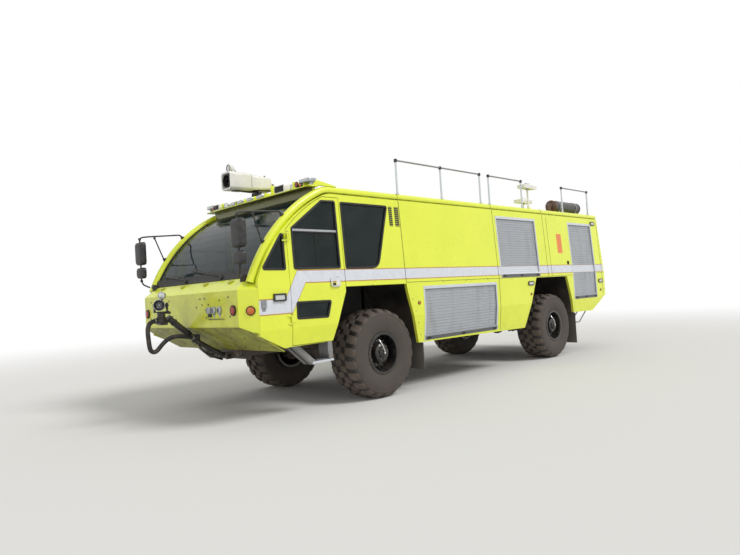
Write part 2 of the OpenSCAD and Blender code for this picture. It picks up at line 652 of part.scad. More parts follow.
// Lamps on the brow: side and distance from that side's roof tube, or 0 and the place from the
// middle; then width, height and how far forward
brow_lamps = [[-1, 70, 90, 85, 0], [-1, 230, 210, 85, 10], [-1, 520, 200, 105, -20], [0, -600, 130, 70, 10],
    [0, -380, 130, 70, 10], [0, -120, 130, 70, 10], [0, 390, 40, 150, -30], [0, 690, 260, 95, 10],
    [1, 430, 200, 105, -20], [1, 220, 110, 90, 10], [1, 60, 150, 100, 20]];
function brow_y(lamp) = lamp[0] == 0 ? lamp[1] : lamp[0] * (tube_y - lamp[1]);

dash_x = fx + 1930;
module dashboard() color(black) {
    intersection() {
        xz(-half_w + 120, half_w - 120, [[fx + 2140, 1850], [dash_x - 200, 1905], [dash_x - 300, 1840],
            [dash_x - 300, 1700], [dash_x - 120, 1560], [dash_x - 80, floor_z + fit],
            [dash_x, floor_z + fit], [fx + 2140, 1700]]);
        yz(rear_x, nose_x, inside_section(cab_in + 60));
    }
    // Steering column and wheel
    translate([dash_x - 290, 520, 1790]) rotate([0, -62, 0]) {
        cylinder(h = 130, r = 28);
        translate([0, 0, 120]) rotate_extrude($fn = 40) translate([215, 0]) circle(16, $fn = 16);
        for (a = [0, 120, 240])
            rotate([0, 0, a]) translate([0, -14, 112]) cube([215, 28, 16]);
        translate([0, 0, 104]) cylinder(h = 30, r = 50);
    }
}
// Seats: place along, place across and height of the floor below them
seat_places = [[1180, 520, 0], [1180, -520, 0], [430, 560, 1], [430, -560, 1]];
module seat(x, y, z) {
    translate([x, y, z]) {
        translate([0, 0, fit]) cylinder(h = 330, r = 90);
        xz(-250, 250, rounded([[-240, 300], [270, 310], [270, 410], [-240, 400]], 40));
        xz(-240, 240, rounded([[-230, 380], [-120, 400], [-200, 1060], [-300, 1050]], 45));
    }
}
module seats() color(black)
    for (s = seat_places)
        seat(fx + s[0], s[1], s[2] == 0 ? floor_z : well_z + 25);

// Locker body

body_front = cab_x - seam;
// The body sides rise this far above the eave, up to the round of the roof tubes
side_rise = 1.8;
well2_front = rx + 1224;
floor_front = fx - 880;
body_outline = [[body_front, arch_z], [fx - 516, 1571], [fx - 755, sill_z], [well2_front, sill_z - 30],
    [rx + arch_front, arch_z - 20], [rx + arch_front - 12, arch_z], [rx - arch_rear + 12, arch_z],
    [rx - arch_rear, arch_z - 20], [rx - 786, 895], [rear_x + 700, 880], [rear_x + 40, 1225],
    [rear_x + 30, belt_z], [rear_x + 110, eave_z + side_rise], [body_front, eave_z + side_rise]];
// Shutter openings: front edge, rear edge, lower edge, upper edge
shutter_rows = [[fx - 893, fx - 2970, 770, 1640], [fx - 3150, fx - 4575, 1720, 2890],
    [rx - 810, rx - 1930, 1178, 2880]];
function opening(s) = [[s[0], s[2]], [s[1], s[2]], [s[1], s[3]], [s[0], s[3]]];
module body_side() {
    difference() {
        side_wall(body_outline);
        for (s = shutter_rows)
            xz(half_w - 500, half_w + 100, opening(s));
    }
    shutter_guides(0);
}
// Guide channels behind the edges of the openings, larger by g all round
module shutter_guides(g)
    for (s = shutter_rows)
        for (x = [s[0] + 2, s[1] - 42])
            side_wall([[x - g, s[2] + 12 - g], [x + 40 + g, s[2] + 12 - g], [x + 40 + g, s[3] + 10 + g],
                [x - g, s[3] + 10 + g]], wall - 2 - g, 22 + 2 * g);
module body_left() color(lime) body_side();
module body_right() color(lime) mirror([0, 1, 0]) body_side();

// Slatted curtain in a shutter opening, with its lift bar
shutter_in = 24;
bar_h = 95;
function slat_edge(z0, n, p) = [for (i = [0:n - 1]) each let (z = z0 + i * p)
    [[skin_y(z) - shutter_in - 5, z], [skin_y(z) - shutter_in, z + p * 0.12],
        [skin_y(z) - shutter_in, z + p * 0.88]]];
module curtain(s) {
    slats = floor((s[3] - s[2] - bar_h) / slat_pitch);
    p = (s[3] - s[2] - bar_h - 2 * fit) / slats;
    z0 = s[2] + bar_h;
    yz(s[1] + fit, s[0] - fit, concat(slat_edge(z0, slats, p),
        [[skin_y(s[3]) - shutter_in - 5, s[3] - fit], [skin_y(s[3]) - shutter_in - 16, s[3] - fit],
            [skin_y(z0) - shutter_in - 16, z0]]));
    yz(s[1] + fit, s[0] - fit, [[skin_y(s[2]) - 34, s[2] + fit], [skin_y(s[2]) - 2, s[2] + fit],
        [skin_y(s[2]) + 6, s[2] + 20], [skin_y(s[2] + bar_h) + 6, s[2] + bar_h - 12],
        [skin_y(s[2] + bar_h) - 12, s[2] + bar_h], [skin_y(s[2]) - 38, s[2] + bar_h]]);
}
module shutters() color(grey) both() for (s = shutter_rows) curtain(s);

module roof_deck() color(lime) {
    difference() {
        box([rear_x + 112, -deck_y, deck_z], [body_front, deck_y, deck_z + deck_t]);
        for (i = [0, 1])
            translate([mast_x[i], mast_y[i], deck_z - 1]) cylinder(h = deck_t + 2, r = guide_r - 2);
    }
    for (i = [0, 1]) mast_guide(i);
}
rear_wall_in = wall + fit;
// Rear face below the belt at height z
function rear_face(z) = rear_x + 40 - 10 * (z - 1225) / (belt_z - 1225);
module rear_panel() color(lime) {
    difference() {
        intersection() {
            xz(-half_w, half_w, [[rear_x + 40, 1225], [rear_x + 30, belt_z], [rear_x + 110, deck_z - fit],
                [rear_x + 170, deck_z - fit], [rear_x + 90, belt_z], [rear_x + 100, 1225]]);
            yz(rear_x - 10, rx, inside_section(rear_wall_in));
        }
        box([rear_x, -700, 1420], [rear_x + 75, 700, 2300]);
    }
    // Slats of the radiator grille
    for (i = [0:17])
        translate([rear_x + 68 + i * 2.2, 0, 1440 + i * 48]) rotate([0, 25, 0]) box([-28, -702, -4], [28, 702, 4]);
}
module body_floor() color(black) {
    difference() {
        intersection() {
            // Low lockers, sloping ends over the wheels and the raised floor above the rear axle
            xz(-half_w, half_w, [[fx - 530, well_z - 2], [floor_front, 1000], [floor_front, sill_z + 4],
                [well2_front - 12, sill_z + 4], [rx + arch_front - 4, well_z],
                [rx - arch_rear + 4, well_z], [rx - 780, 897], [rear_x + 710, 897],
                [rear_x + 120, 1200], [rear_x + 120, 1222], [rear_x + 714, 917], [rx - 796, 917],
                [rx - arch_rear - 16, well_z + 20], [rx + arch_front + 16, well_z + 20],
                [well2_front + 14, sill_z + 24], [fx - 900, sill_z + 24], [fx - 900, 1004],
                [fx - 550, well_z - 2]]);
            yz(rear_x, nose_x, inside_section(cab_in));
            union() {
                both() box([rear_x, rail_y + rail_w / 2 + 20, 600], [fx, half_w, 1800]);
                box([rear_x, -well_y, well_z - 10], [fx, well_y, well_z + 30]);
            }
        }
        both() shutter_guides(fit);
    }
    // Inner walls between the lockers and the frame
    both() {
        box([rx + 1400, well_y - 20, sill_z + 24], [fx - 900, well_y, rail_z + rail_h + 30]);
        box([rear_x + 740, well_y - 20, 914], [fx - 520, well_y, well_z - 12]);
    }
    box([rear_x + 125, -well_y + 20, rail_z + rail_h + fit],
        [cab_x + 20, well_y - 20, rail_z + rail_h + floor_plate]);
}

// Walkway railings on both roof edges: groups of post places along the vehicle
railing_groups = [[fx - 560, fx - 1680, fx - 2830], [fx - 3120, fx - 4270], [rx - 790, rx - 2015]];
railing_top = tube_z + tube_r + railing_h;
module railings() color(steel) both() for (g = railing_groups) {
    for (x = g)
        translate([x, tube_y, tube_z + tube_r + fit]) cylinder(h = railing_h, r = railing_r);
    cyl_x(g[len(g) - 1] - 25, g[0] + 25, tube_y, railing_top, railing_r + 2);
}

muffler_y = tube_y - 300;
muffler_z = tube_z + 235;
module muffler() color(grey) {
    cyl_x(rx - 2020, rx - 820, muffler_y, muffler_z, muffler_r);
    cyl_x(rx - 820, rx - 690, muffler_y, muffler_z, 62);
    cyl_x(rx - 2100, rx - 2020, muffler_y, muffler_z, 60);
    for (x = [rx - 1050, rx - 1800])
        box([x - 30, muffler_y - 100, eave_z + 30 + fit], [x + 30, muffler_y + 100, muffler_z - 60]);
    translate([rx - 720, muffler_y, eave_z + 30 + fit]) cylinder(h = muffler_z - eave_z - 30, r = 58);
}

// Outside mirrors, one arm frame on each side
mirror_x = fx + 2420;
mirror_y = tube_y + 40;
// Foot on the outer side of the pillar tube at height z, and the end of its stub
function tube_foot(z, reach) = let (a = asin((z - pillar_z) / pillar_bend))
    [fx + pillar_cx + (pillar_bend + reach) * cos(a), tube_y, pillar_z + (pillar_bend + reach) * sin(a)];
// Point at x on the sloping top of the nose, lifted off it by h
function nose_top(x, y, h) = [x, y, belt_z + (nose_x - x) * nose_slope] + h * unit([nose_slope, 0, 1]);
arm_stub = 45;
mirror_arm_r = 13;
module mirror_shell(z, w, h, d) translate([mirror_x, mirror_y, z - h / 2]) linear_extrude(h)
    polygon(rounded([[-d / 2, -w / 2], [d / 2, 12 - w / 2], [d / 2, w / 2 - 12], [-d / 2, w / 2]], d / 4));
module mirror_set() {
    arm = tube_foot(2640, tube_r + arm_stub - 8);
    arm_end = [mirror_x, mirror_y, 2650];
    bar([mirror_x, mirror_y, 1930], [mirror_x, mirror_y, 2660], mirror_arm_r);
    for (z = [2640, 2290])
        bar(tube_foot(z, tube_r + fit), tube_foot(z, tube_r + arm_stub), mirror_arm_r + 5);
    bar(arm, arm_end, mirror_arm_r);
    // Stay up to the arm, with its clamp
    bar(tube_foot(2290, tube_r + arm_stub - 8), arm_end * 0.65 + arm * 0.35, mirror_arm_r - 3);
    translate(arm_end * 0.65 + arm * 0.35) sphere(r = mirror_arm_r + 8, $fn = 24);
    // Bulky foot on the nose
    foot = nose_top(fx + 2262, tube_y - 120, fit);
    translate(foot) rotate([0, atan(nose_slope), 0]) cylinder(h = 90, r = 42);
    bar(nose_top(fx + 2262, tube_y - 120, 62), [mirror_x, mirror_y, 1940], mirror_arm_r);
    mirror_shell(2420, 250, 360, 90);
    mirror_shell(2115, 225, 170, 80);
}
module mirrors() color(black) both() mirror_set();

// Entry steps below the doors and step rails at the rear
step_z = 685;
step_y = half_w - 145;
step_w = 200;
module steps() color(steel) both() {
    // Entry step: two sloping hangers with a tread between them, below the door
    for (y = [step_y - 8, step_y - step_w]) {
        xz(y, y + 8, [[fx + 1740, floor_z - 25 - fit], [fx + 1630, floor_z - 25 - fit], [fx + 1270, step_z + 14],
            [fx + 1030, step_z + 18], [fx + 1052, step_z + 150], [fx + 1044, floor_z - 25 - fit],
            [fx + 976, floor_z - 25 - fit], [fx + 968, step_z + 150], [fx + 982, step_z + 20],
            [fx + 958, step_z + 12], [fx + 958, step_z - 20], [fx + 1330, step_z - 26]]);
    }
    box([fx + 975, step_y - step_w + 4, step_z - 12], [fx + 1290, step_y - 4, step_z + 8]);
    // Rear step rail
    for (y = [step_y - 8, step_y - step_w])
        xz(y, y + 8, [[rear_x + 730, 897 - fit], [rear_x + 790, 897 - fit], [rear_x + 1135, 664],
            [rear_x + 1300, 664], [rear_x + 1300, 640], [rear_x + 1112, 640]]);
    box([rear_x + 1115, step_y - step_w + 4, 642], [rear_x + 1290, step_y - 4, 656]);
}
// Mud flaps: hung on the floor's front face, and under the floor behind the rear wheels
flap_t = 12;
module mud_flaps() color(black) both() {
    yz(floor_front + fit, floor_front + fit + flap_t, [[half_w - 380, 315], [half_w - 65, 315],
        [half_w - 65, sill_z - 12], [half_w - 122, sill_z - 12], [half_w - 122, sill_z + 90],
        [half_w - 380, sill_z + 90]]);
    yz(rx - 900, rx - 900 + flap_t, [[half_w - 300, 215], [half_w - 62, 215], [half_w - 62, 884],
        [half_w - 98, 884], [half_w - 98, 897 - fit], [half_w - 300, 897 - fit]]);
}

// Small outside lamps
module lamps() color(amber) {
    both() {
        for (p = [[rear_x + 115 + 260, 2900], [rear_x + 270, 1553], [rx + 987, 1586]])
            translate([p[0], skin_y(p[1] - 42) + fit, p[1]]) box([-105, 0, -42], [105, 24, 42]);
        translate([nose_x + fit, 1236, 1467]) box([0, -62, -75], [22, 62, 75]);
        cyl_y(fx - 766, skin_y(1384) + fit, skin_y(1384) + 16, 1384, 32);
        cyl_y(rear_x + 280, skin_y(1339) + fit, skin_y(1339) + 16, 1339, 32);
        cyl_y(rx + 995, skin_y(1373) + fit, skin_y(1373) + 16, 1373, 32);
        box([fx + 1826, half_w + fit, 1546], [fx + 2020, half_w + 24, 1644]);
    }
    for (s = [-1, 1])
        for (z = [1290, 1500])
            box([rear_x, s * 1150 - 110, z - 70], [rear_face(z + 70) - fit, s * 1150 + 110, z + 70]);
}

// Roof turret

turret_x = fx + 930;
turret_base_z = 3180;
turret_pin_z = turret_z - 160;
turret_pin_r = 16;
lug_y = 62;
module turret_swivel() color(black) {
    translate([turret_x, turret_y, turret_base_z + fit]) {
        cylinder(h = 22, r = 112);
        cylinder(h = 45, r = 85);
    }
    for (s = [-1, 1])
        difference() {
            union() {
                cyl_y(turret_x, turret_y + s * 90 - 14, turret_y + s * 90 + 14, turret_pin_z, 30);
                translate([turret_x, turret_y + s * 90, 0])
                    box([-30, -14, turret_base_z + 10], [30, 14, turret_pin_z]);
            }
            cyl_y(turret_x, turret_y - 300, turret_y + 300, turret_pin_z, turret_pin_r + run);
        }
}
turret_front = 556;
turret_back = -232;
function turret_ring(k) = rounded([[-145 * k, -125 * k], [145 * k, -125 * k], [145 * k, 125 * k],
    [-145 * k, 125 * k]], 45 * k);
module turret() color(white) {
    translate([turret_x, turret_y, turret_z]) {
        difference() {
            union() {
                rotate([90, 0, 90]) translate([0, 0, 100]) linear_extrude(turret_front - 100) polygon(turret_ring(1));
                rotate([90, 0, 90]) translate([0, 0, turret_back]) linear_extrude(440) polygon(turret_ring(0.95));
                rotate([90, 0, 90]) translate([0, 0, 60]) linear_extrude(60) polygon(turret_ring(0.88));
            }
            rotate([90, 0, 90]) translate([0, 0, turret_front - 60]) linear_extrude(80) polygon(turret_ring(0.84));
        }
        cyl_x(turret_front - 110, turret_front - 10, 0, 0, 62);
        // Lug below the housing with the tilting pin
        difference() {
            box([-34, -lug_y, -150], [34, lug_y, -110]);
            box([-40, -lug_y + 30, -160], [40, lug_y - 30, -126]);
        }
        cyl_y(0, -lug_y, lug_y, turret_pin_z - turret_z, 28);
        cyl_y(0, -104, 104, turret_pin_z - turret_z, turret_pin_r);
        // Lamp on the front of the housing
        cyl_x(turret_front - 130, turret_front - 30, 40, 195, 58);
        box([turret_front - 100, 20, 110], [turret_front - 60, 60, 150]);
    }
}

// Bumper monitor on its boom

boom_elbow = [fx + 2318, 0, 1126];
boom_tip = [fx + 2700, 0, 1420];
swivel_x = fx + 2790;
swivel_z = 1440;
module boom() color(black) {
    cyl_y(boom_pivot[0], -boom_gap / 2 + 3, boom_gap / 2 - 3, boom_pivot[2], 40);
    bar(boom_pivot, [boom_elbow[0] - 40, 0, boom_elbow[2] - 78], 34);
    bar([boom_elbow[0] - 50, 0, boom_elbow[2] - 84], boom_tip, 45);
    translate([swivel_x, 0, swivel_z - 85]) cylinder(h = 70, r = 60);
    bar(boom_tip - [30, 0, 22], [swivel_x, 0, swivel_z - 64], 36);
    // Pin through the ears
    cyl_y(boom_pivot[0], -boom_gap / 2 - 28, boom_gap / 2 + 28, boom_pivot[2], 20 - run);
    // Outlet block where the hose ends
    box([boom_elbow[0] - 30, -60, boom_elbow[2] - 40], [boom_elbow[0] + 30, 116, boom_elbow[2] + 30]);
    // Hose outlet ahead of the swivel, just short of the tilted end of the hose
    cyl_x(swivel_x + 20, fx + hose_path[0][0] - 2.6, 0, hose_path[0][2], hose_r + 2);
}
// Tilting axis of the monitor over the foot of its swivel
monitor_h = 150;
module at_monitor() translate([swivel_x, 0, swivel_z]) rotate([0, 0, monitor_turn]) children();
module monitor_swivel() color(black) at_monitor() {
    translate([0, 0, fit - 15]) cylinder(h = 66, r = 55);
    for (s = [-1, 1])
        difference() {
            hull() {
                cyl_y(0, s * 80 - 12, s * 80 + 12, monitor_h, 36);
                box([-45, s * 80 - 12, 60], [45, s * 80 + 12, 75 + fit]);
            }
            cyl_y(0, -200, 200, monitor_h, monitor_pin_r + run);
        }
    box([-45, -92, 50], [45, 92, 65]);
    // Handle of the valve, low on the left
    cyl_y(0, 50, 120, 44, 14);
    cyl_x(-18, 84, 108, 44, 20);
}
monitor_pin_r = 18;
module monitor() color(black) at_monitor() translate([0, 0, monitor_h]) {
    cyl_y(0, -92, 92, 0, monitor_pin_r);
    // Barrel and nozzle, open at the front with its centre cone
    rotate([0, 90, 0]) rotate_extrude() polygon([[0, -58], [34, -56], [46, -44], [46, 90], [50, 94],
        [50, 114], [nozzle_r - 2, 124], [nozzle_r, 132], [nozzle_r, nozzle_len - 6],
        [nozzle_r - 4, nozzle_len], [nozzle_r - 12, nozzle_len], [nozzle_r - 14, 156], [30, 152],
        [30, nozzle_len - 42], [16, nozzle_len - 24], [0, nozzle_len - 22]]);
    // Lamp up on its left, on a bracket
    translate([0, lamp_y, lamp_h]) rotate([0, 90, 0]) rotate_extrude()
        polygon([[0, -22], [30, -18], [50, 12], [52, 84], [46, 88], [44, 76], [0, 82]]);
    box([10, lamp_y - 12, 40], [50, lamp_y + 12, lamp_h - 46]);
}
lamp_y = 24;
lamp_h = 128;

// Telescopic scene-light masts on the roof, each sliding in a guide tube
mast_y = [tube_y - 210, 640];
mast_x = [fx - 4870, rx - 420];
mast_top = [3600, 3420];
mast_r = 20;
guide_r = 29;
guide_top = 3190;
guide_low = 2560;
module mast_guide(i)
    translate([mast_x[i], mast_y[i], guide_low]) difference() {
        union() {
            cylinder(h = guide_top - guide_low, r = guide_r);
            translate([0, 0, guide_top - guide_low - 25]) cylinder(h = 25, r = guide_r + 8);
        }
        translate([0, 0, -1]) cylinder(h = guide_top, r = mast_r + run);
    }
module mast(i) {
    translate([mast_x[i], mast_y[i], 0]) {
        translate([0, 0, guide_low + 5]) cylinder(h = mast_top[i] - guide_low - 5, r = mast_r);
        translate([0, 0, mast_top[i] - 10]) {
            box([-250, -85, 0], [250, 85, 70]);
            translate([0, 0, 60]) cylinder(h = 50, r = 70);
        }
    }
}
module mast_front() color(white) mast(0);
module mast_rear() color(white) mast(1);

// Hose that hangs between the boom's head and its elbow, swept along its route
hose_r = 32;
hose_sides = 10;
hose_bend_x = hose_reach - hose_r - 2;
hose_path = [[2856, 0, 1385], [2890, 0, 1383], [2926, 0, 1372], [hose_bend_x - 30, 0, 1350],
    [hose_bend_x - 12, 0, 1318], [hose_bend_x - 2, 0, 1276], [hose_bend_x, 0, 1226], [hose_bend_x - 3, 0, 1160],
    [hose_bend_x - 8, 0, 1094], [hose_bend_x - 16, 0, 1034], [2956, 1, 994], [2930, 4, 974], [2898, 8, 974],
    [2868, 13, 994], [2840, 20, 1026], [2808, 30, 1064], [2770, 42, 1100], [2726, 56, 1130], [2672, 72, 1150],
    [2606, 88, 1154], [2536, 94, 1146], [2466, 90, 1134], [2396, 81, 1120], [2349, 81, 1120]];
// Direction of the route at point i
function hose_dir(i) = let (n = len(hose_path) - 1)
    unit(hose_path[min(i + 1, n)] - hose_path[max(i - 1, 0)]);
hose_side = unit([0.05, 1, 0.1]);
function hose_ring(i) = let (d = hose_dir(i), u = unit(cross(d, hose_side)), v = cross(d, u))
    [for (k = [0:hose_sides - 1]) let (a = 360 * k / hose_sides)
        hose_path[i] + [fx, 0, 0] + hose_r * (u * cos(a) + v * sin(a))];
module hose() color(black) {
    n = len(hose_path);
    m = hose_sides;
    polyhedron(points = [for (i = [0:n - 1]) each hose_ring(i)],
        faces = concat([[for (k = [0:m - 1]) k]],
            [for (i = [0:n - 2], k = [0:m - 1]) let (a = i * m + k, b = i * m + (k + 1) % m) [b, a, a + m]],
            [for (i = [0:n - 2], k = [0:m - 1]) let (a = i * m + k, b = i * m + (k + 1) % m) [b, a + m, b + m]],
            [[for (k = [m - 1:-1:0]) (n - 1) * m + k]]));
}

chassis();
front_axle();
rear_axle();
engine();
cab_floor();
cab_side_left();
cab_side_right();
cab_roof();
cab_rear_wall();
nose();
skid_plate();
roof_tubes();
windscreen();
side_glass();
dashboard();
seats();
light_bar();
body_left();
body_right();
roof_deck();
rear_panel();
body_floor();
shutters();
railings();
muffler();
mirrors();
steps();
mud_flaps();
lamps();
door_left();
door_left_glass();
door_right();
door_right_glass();
knuckle_left();
knuckle_right();
tie_rod();
tyre_front_left();
rim_front_left();
tyre_front_right();
rim_front_right();
tyre_rear_left();
rim_rear_left();
tyre_rear_right();
rim_rear_right();
turret_swivel();
turret();
boom();
monitor_swivel();
monitor();
mast_front();
mast_rear();
hose();
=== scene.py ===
"""Looks of the airport fire truck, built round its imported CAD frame."""

import math

import bmesh
import bpy
from mathutils import Matrix, Vector


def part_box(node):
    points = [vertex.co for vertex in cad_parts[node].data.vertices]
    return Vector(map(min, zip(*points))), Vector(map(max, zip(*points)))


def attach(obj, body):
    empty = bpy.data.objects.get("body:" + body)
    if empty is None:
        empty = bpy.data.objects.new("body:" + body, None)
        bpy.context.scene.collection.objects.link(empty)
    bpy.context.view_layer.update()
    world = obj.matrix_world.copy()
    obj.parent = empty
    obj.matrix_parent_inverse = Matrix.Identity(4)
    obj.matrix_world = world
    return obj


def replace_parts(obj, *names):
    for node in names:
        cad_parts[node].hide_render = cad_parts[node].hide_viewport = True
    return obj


bl_info = {
    "name": "Airport fire truck looks",
    "version": (1, 0, 0),
    "blender": (4, 5, 0),
    "location": "View3D > Sidebar > Fire truck",
    "description": "Paint, glass, tyres, lamps and fittings of an airport fire truck",
    "category": "Object",
}

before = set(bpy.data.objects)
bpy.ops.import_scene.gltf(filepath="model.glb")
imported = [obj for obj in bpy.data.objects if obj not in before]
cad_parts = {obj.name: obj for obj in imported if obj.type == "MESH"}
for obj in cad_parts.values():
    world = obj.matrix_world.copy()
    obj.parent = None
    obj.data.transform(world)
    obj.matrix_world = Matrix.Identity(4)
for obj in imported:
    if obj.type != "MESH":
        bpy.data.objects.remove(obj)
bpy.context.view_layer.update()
MM = 0.001
ROOT = "root"


def middle(node_name):
    low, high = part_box(node_name)
    return (low + high) / 2


# Places that the CAD nodes give, in metres
FRONT_X = middle("rim_front_left").x
REAR_X = middle("rim_rear_left").x
AXLE_Z = middle("rim_front_left").z
TYRE_Y = middle("tyre_front_left").y
HALF_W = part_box("body_left")[1].y
TAIL_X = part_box("body_left")[0].x
EAVE_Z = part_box("body_left")[1].z
FOLD_Z, BELT_Z, SILL_Z = 1.190, 1.720, 0.752
TUCK, LEAN = 0.052, 0.070
TUBE_R = 0.055
TUBE_Y = HALF_W - 0.135
TUBE_Z = EAVE_Z + TUBE_R
PILLAR_BEND = 2.306
PILLAR_X = FRONT_X + 0.131
PILLAR_Z = TUBE_Z - 2.136
GLASS_R = PILLAR_BEND - 0.012
SCREEN_LOW_Z, SCREEN_TOP_Z = 1.892, 2.985
SWIVEL_X, SWIVEL_Z = FRONT_X + 2.790, 1.440
MONITOR_Z = SWIVEL_Z + 0.150
MONITOR_TURN = math.radians(60)
TURRET = Vector((FRONT_X + 0.930, -0.330, 3.462))


# Small tools

def hex_colour(text):
    """Linear RGBA of an sRGB hex value."""
    parts = [int(text[i:i + 2], 16) / 255 for i in (1, 3, 5)]
    linear = [c / 12.92 if c <= 0.04045 else ((c + 0.055) / 1.055) ** 2.4 for c in parts]
    return (*linear, 1.0)


def fill(tree, node, inputs):
    """Link each input of a node to a socket, or set its value."""
    for socket, value in inputs.items():
        if isinstance(value, bpy.types.NodeSocket):
            tree.links.new(value, node.inputs[socket])
        else:
            node.inputs[socket].default_value = value


def add(tree, kind, inputs=None, **settings):
    """Add a node to a tree, set its options, and fill its inputs."""
    made = tree.nodes.new(kind)
    for key, value in settings.items():
        setattr(made, key, value)
    fill(tree, made, inputs or {})
    return made


def skin_y(z):
    """Outer face of the vehicle's side at height z."""
    if z < FOLD_Z:
        return HALF_W - TUCK * (FOLD_Z - z) / (FOLD_Z - SILL_Z)
    if z < BELT_Z:
        return HALF_W
    return HALF_W - LEAN * (z - BELT_Z) / (EAVE_Z - BELT_Z)


def screen_x(z, radius=GLASS_R):
    """Outer face of the windscreen at height z."""
    return PILLAR_X + math.sqrt(radius ** 2 - (z - PILLAR_Z) ** 2)


def round_corners(points, radius, steps=4):
    """Closed 2-D outline with each corner turned into an arc."""
    made = []
    count = len(points)
    for i, point in enumerate(points):
        p = Vector(point)
        u = (Vector(points[i - 1]) - p).normalized()
        v = (Vector(points[(i + 1) % count]) - p).normalized()
        half = u.angle(v) / 2
        centre = p + (u + v).normalized() * radius / math.sin(half)
        start = p + u * radius / math.tan(half) - centre
        end = p + v * radius / math.tan(half) - centre
        for k in range(steps + 1):
            made.append(centre + (start.lerp(end, k / steps)).normalized() * radius)
    return made


def grow_outline(points, distance):
    """Closed convex 2-D outline moved outwards by a distance."""
    count = len(points)
    area = sum(points[i - 1][0] * points[i][1] - points[i][0] * points[i - 1][1] for i in range(count))
    side = 1 if area > 0 else -1
    made = []
    for i in range(count):
        p, before, after = Vector(points[i]), Vector(points[i - 1]), Vector(points[(i + 1) % count])
        a, b = (p - before).normalized(), (after - p).normalized()
        na, nb = Vector((a.y, -a.x)) * side, Vector((b.y, -b.x)) * side
        mid = (na + nb).normalized()
        made.append(p + mid * distance / max(mid.dot(na), 0.3))
    return made


def soften(bm, faces, width):
    """Bevel the sharp edges of some faces by a width in millimetres."""
    edges = {e for f in faces for e in f.edges if len(e.link_faces) == 2 and e.calc_face_angle(0) > 0.5}
    if edges and width > 0:
        bmesh.ops.bevel(bm, geom=list(edges), offset=width * MM, segments=2, affect="EDGES", profile=0.5,
                        clamp_overlap=True)


def block(bm, low, high, edge, turn=None, finish=0):
    """Box with softened edges, turned about its middle by a matrix."""
    low, high = Vector(low), Vector(high)
    made = bmesh.ops.create_cube(bm, size=1.0)["verts"]
    size, centre = high - low, (low + high) / 2
    for v in made:
        v.co = Vector((v.co.x * size.x, v.co.y * size.y, v.co.z * size.z))
        v.co = (turn @ v.co if turn else v.co) + centre
    faces = list({f for v in made for f in v.link_faces})
    for f in faces:
        f.material_index = finish
    soften(bm, faces, edge)


def loft(bm, rings, wrap=False, finish=0):
    """Skin over rings of points that have the same count; it is closed by caps or by wrapping round."""
    rows = [[bm.verts.new(p) for p in ring] for ring in rings]
    count = len(rows[0])
    pairs = list(zip(rows, rows[1:] + rows[:1])) if wrap else list(zip(rows, rows[1:]))
    for a, b in pairs:
        for i in range(count):
            j = (i + 1) % count
            bm.faces.new((a[i], a[j], b[j], b[i])).material_index = finish
    if not wrap:
        bm.faces.new(rows[0][::-1]).material_index = finish
        bm.faces.new(rows[-1]).material_index = finish


def frame_across(direction):
    """Two unit vectors square to a direction."""
    helper = Vector((0, 0, 1)) if abs(direction.z) < 0.9 else Vector((1, 0, 0))
    u = direction.cross(helper).normalized()
    return u, direction.cross(u).normalized()


def sweep(bm, path, radius, sides, closed=False, section=None):
    """Bar along a path of points, round or of another section, whose size is in millimetres."""
    path = [Vector(p) for p in path]
    count = len(path)
    section = section or [(radius * math.cos(2 * math.pi * k / sides),
                           radius * math.sin(2 * math.pi * k / sides)) for k in range(sides)]
    rings, u = [], None
    for i, p in enumerate(path):
        before = path[i - 1] if i or closed else p
        after = path[(i + 1) % count] if i < count - 1 or closed else p
        d = (after - before).normalized()
        if u is None:
            u, v = frame_across(d)
        else:
            u = (u - d * u.dot(d)).normalized()
            v = d.cross(u).normalized()
        rings.append([p + u * (a * MM) + v * (b * MM) for a, b in section])
    loft(bm, rings, wrap=closed)


def bent_path(points, radius):
    """Polyline whose inner corners are rounded; the radius is in millimetres."""
    points = [Vector(p) for p in points]
    made = [points[0]]
    for a, p, b in zip(points, points[1:], points[2:]):
        reach = min(radius * MM, (a - p).length * 0.45, (b - p).length * 0.45)
        start, end = p + (a - p).normalized() * reach, p + (b - p).normalized() * reach
        for k in range(7):
            t = k / 6
            made.append(start * (1 - t) ** 2 + p * 2 * t * (1 - t) + end * t ** 2)
    return made + [points[-1]]


def turned(bm, profile, centre, axis, steps, finish=0):
    """Solid of revolution: profile rows are (radius, distance along the axis), in millimetres."""
    axis = Vector(axis).normalized()
    u, v = frame_across(axis)
    centre = Vector(centre)
    rows = []
    for r, h in profile:
        along = centre + axis * (h * MM)
        if r == 0:
            rows.append([bm.verts.new(along)])
        else:
            rows.append([bm.verts.new(along + (u * math.cos(t) + v * math.sin(t)) * (r * MM))
                         for t in (2 * math.pi * k / steps for k in range(steps))])
    for a, b in zip(rows, rows[1:]):
        if len(a) == len(b) == 1:
            continue
        for i in range(steps):
            j = (i + 1) % steps
            ring = [a[i % len(a)], a[j % len(a)], b[j % len(b)], b[i % len(b)]]
            bm.faces.new(list(dict.fromkeys(ring))).material_index = finish


def slab(bm, outline, offset, edge, finish=0):
    """Flat outline of 3-D points pushed along an offset."""
    offset = Vector(offset)
    before = set(bm.faces)
    loft(bm, [[Vector(p) for p in outline], [Vector(p) + offset for p in outline]], finish=finish)
    faces = [f for f in bm.faces if f not in before]
    bmesh.ops.recalc_face_normals(bm, faces=faces)
    soften(bm, faces, edge)


